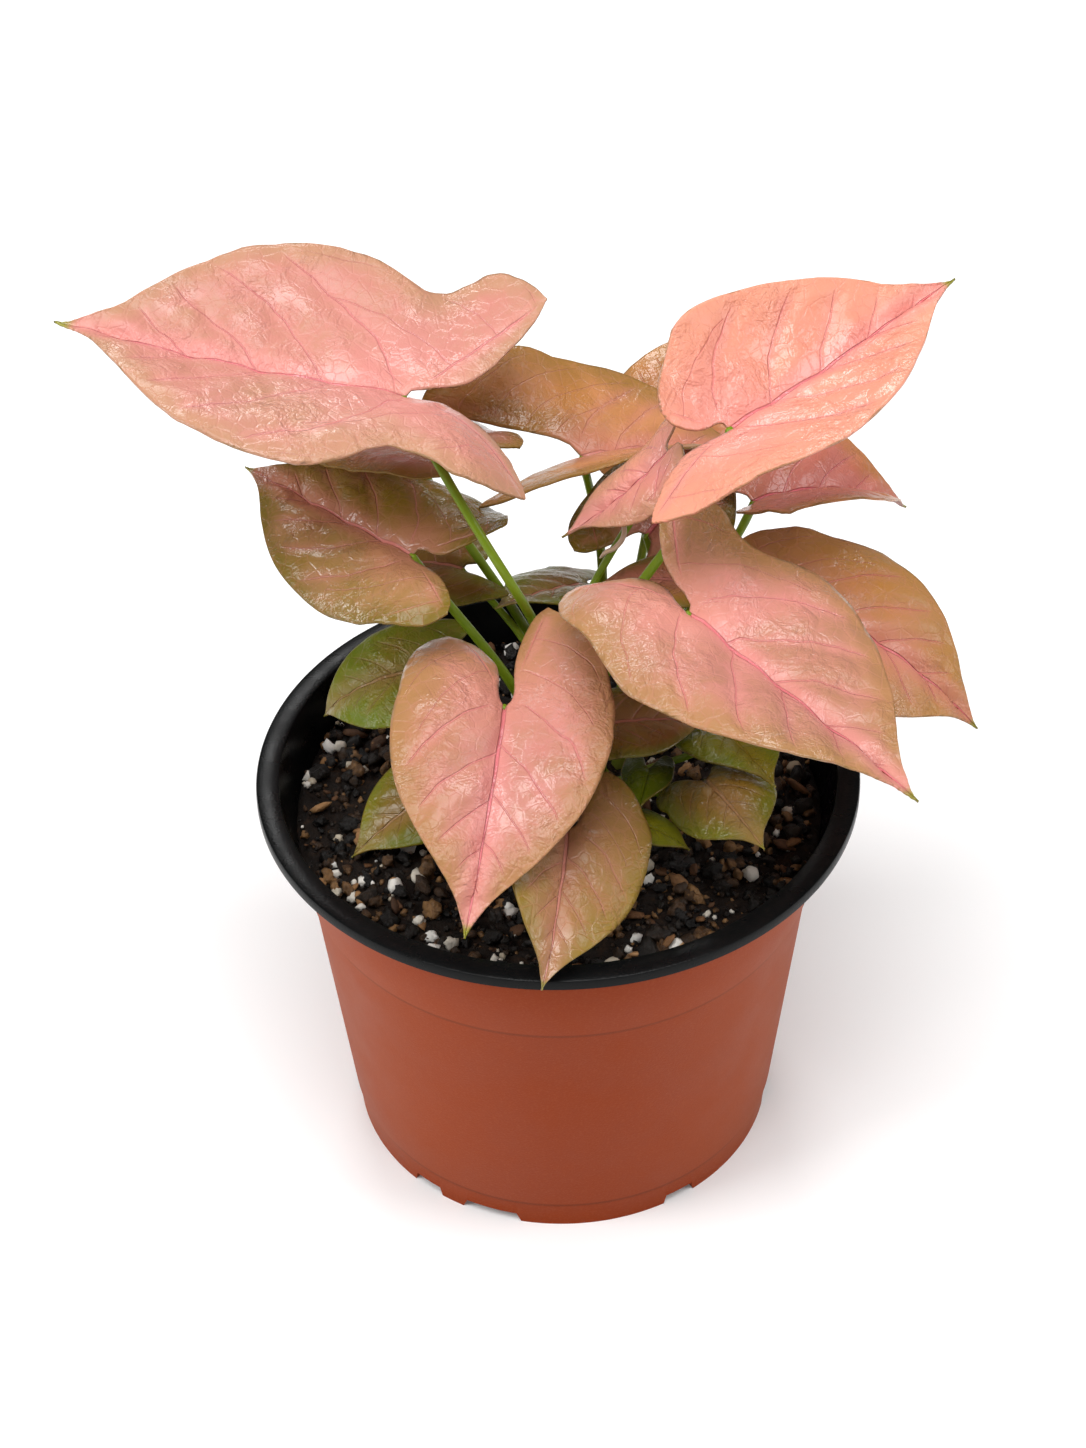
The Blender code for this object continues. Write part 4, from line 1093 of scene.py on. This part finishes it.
def chunk_shapes(count, seed, squash, rough, detail=2):
    """A few craggy shapes to draw loose bits from, as points and faces."""
    shapes = []
    for k in range(count):
        ball = bmesh.new()
        bmesh.ops.create_icosphere(ball, subdivisions=detail, radius=1.0)
        for vertex in ball.verts:
            co = vertex.co.copy()
            shift = Vector((seed, k * 7.3, 0.0))
            cell = noise.voronoi(co * 0.9 + shift)[0]
            bend = 0.9 * (cell[1] - cell[0]) - 0.45 + 0.5 * noise.fractal(co * 1.7 + shift, 0.8, 2.0, 3)
            vertex.co = Vector((co.x, co.y * squash[0], co.z * squash[1])) * (1.0 + rough * bend)
        ball.verts.index_update()
        points = np.array([v.co[:] for v in ball.verts])
        faces = np.array([[v.index for v in f.verts] for f in ball.faces])
        ball.free()
        shapes.append((points, faces))
    return shapes


def scatter(name, shapes, count, sizes, material, seed, power=1.6):
    """Loose bits lying on the mix, as one piece."""
    draw = random.Random(seed)
    points, faces, tones = [], [], []
    offset = 0
    reach = inner_radius(SOIL_TOP) - SOIL_GAP
    stems = list(SHOOTS.values())
    while count > 0:
        size = sizes[0] + (sizes[1] - sizes[0]) * draw.random() ** power
        angle = draw.uniform(0, 2 * pi)
        away = (reach - size * 1.1) * sqrt(draw.random())
        x, y = away * cos(angle), away * sin(angle)
        if any(hypot(x - a, y - b) < STEM_RADIUS + size for a, b in stems):
            continue
        count -= 1
        shape, tris = draw.choice(shapes)
        turn = Matrix.Rotation(draw.uniform(0, 2 * pi), 3, "Z")
        tilt = Matrix.Rotation(draw.gauss(0.0, 0.5), 3, "X") @ Matrix.Rotation(draw.gauss(0.0, 0.5), 3, "Y")
        spun = shape @ np.array(turn @ tilt).T * size
        low = spun[:, 2].min()
        height = soil_height(x, y) - low * (1 - 2 * BIT_SINK)
        points.append(spun + np.array((x, y, height)))
        faces.append(tris + offset)
        tones.append(np.full(len(shape), draw.random()))
        offset += len(shape)
    mesh = bpy.data.meshes.new(name)
    mesh.from_pydata(np.vstack(points).tolist(), [], np.vstack(faces).tolist())
    write_attribute(mesh, "tone", np.concatenate(tones))
    piece(name, mesh, [material])


def loose_bits():
    """Clods, bark, perlite and crumbs on the mix."""
    white = chunk_material("perlite", PERLITE_TONES, 700.0, 0.85, 0.0006)
    bark = chunk_material("bark", BARK_TONES, 500.0, 0.65, 0.0008)
    dark = chunk_material("clods", CLOD_TONES, 420.0, 0.38, 0.0014)
    scatter("mix_clods", chunk_shapes(9, 1.0, (0.8, 0.7), 0.8), 480, (0.0012, 0.0042), dark, 21)
    scatter("mix_lumps", chunk_shapes(8, 4.0, (0.8, 0.65), 0.9), 560, (0.0010, 0.0029), dark, 25)
    scatter("mix_crumbs", chunk_shapes(6, 5.0, (0.75, 0.65), 0.7, 1), 2400, (0.0004, 0.0015), dark, 22)
    scatter("mix_bark", chunk_shapes(8, 2.0, (0.6, 0.3), 0.45), 210, (0.0010, 0.0044), bark, 23)
    knobs = chunk_shapes(9, 3.0, (0.8, 0.7), 0.75)
    scatter("mix_perlite", knobs, 270, (0.0006, 0.0031), white, 24, power=1.8)


def camera():
    """The camera at the photograph's place and angle."""
    data = bpy.data.cameras.new("camera")
    data.lens = CAMERA_LENS
    data.sensor_width = 36.0
    data.clip_start = 0.01
    obj = new_object("camera", data)
    place = Matrix.Translation(CAMERA_PLACE)
    for degrees, axis in ((-CAMERA_YAW, "Z"), (90 - CAMERA_PITCH, "X"), (CAMERA_ROLL, "Z")):
        place = place @ Matrix.Rotation(radians(degrees), 4, axis)
    obj.matrix_world = place
    bpy.context.scene.camera = obj


def softbox(name, place, size, power):
    """A large soft white lamp that points at the plant."""
    data = bpy.data.lights.new(name, "AREA")
    data.shape = "RECTANGLE"
    data.size, data.size_y = size
    data.energy = power
    obj = new_object(name, data)
    obj.location = place
    obj.rotation_euler = (Vector(LAMP_TARGET) - Vector(place)).to_track_quat("-Z", "Y").to_euler()


def studio():
    """A plain pale floor and soft light from both sides, above and behind."""
    build = bmesh.new()
    bmesh.ops.create_grid(build, x_segments=1, y_segments=1, size=FLOOR_SIZE)
    mesh = finished_mesh("floor", build)
    mesh.materials.append(floor_material())
    new_object("floor", mesh)
    world = bpy.data.worlds.new("studio")
    world.use_nodes = True
    sky = world.node_tree.nodes["Background"].inputs
    sky["Color"].default_value = (1.0, 1.0, 1.0, 1.0)
    sky["Strength"].default_value = WORLD_LIGHT
    bpy.context.scene.world = world
    bpy.context.scene.view_settings.view_transform = "Standard"
    for lamp in LAMPS:
        softbox(*lamp)


def main():
    camera()
    studio()
    pot()
    mix()
    loose_bits()
    green = stalk_material()
    for name, base in SHOOTS.items():
        shoot(name, base, [leaf for leaf in LEAVES if leaf.shoot == name], green)
    sheath()
    for leaf in LEAVES:
        blade(leaf)


main()
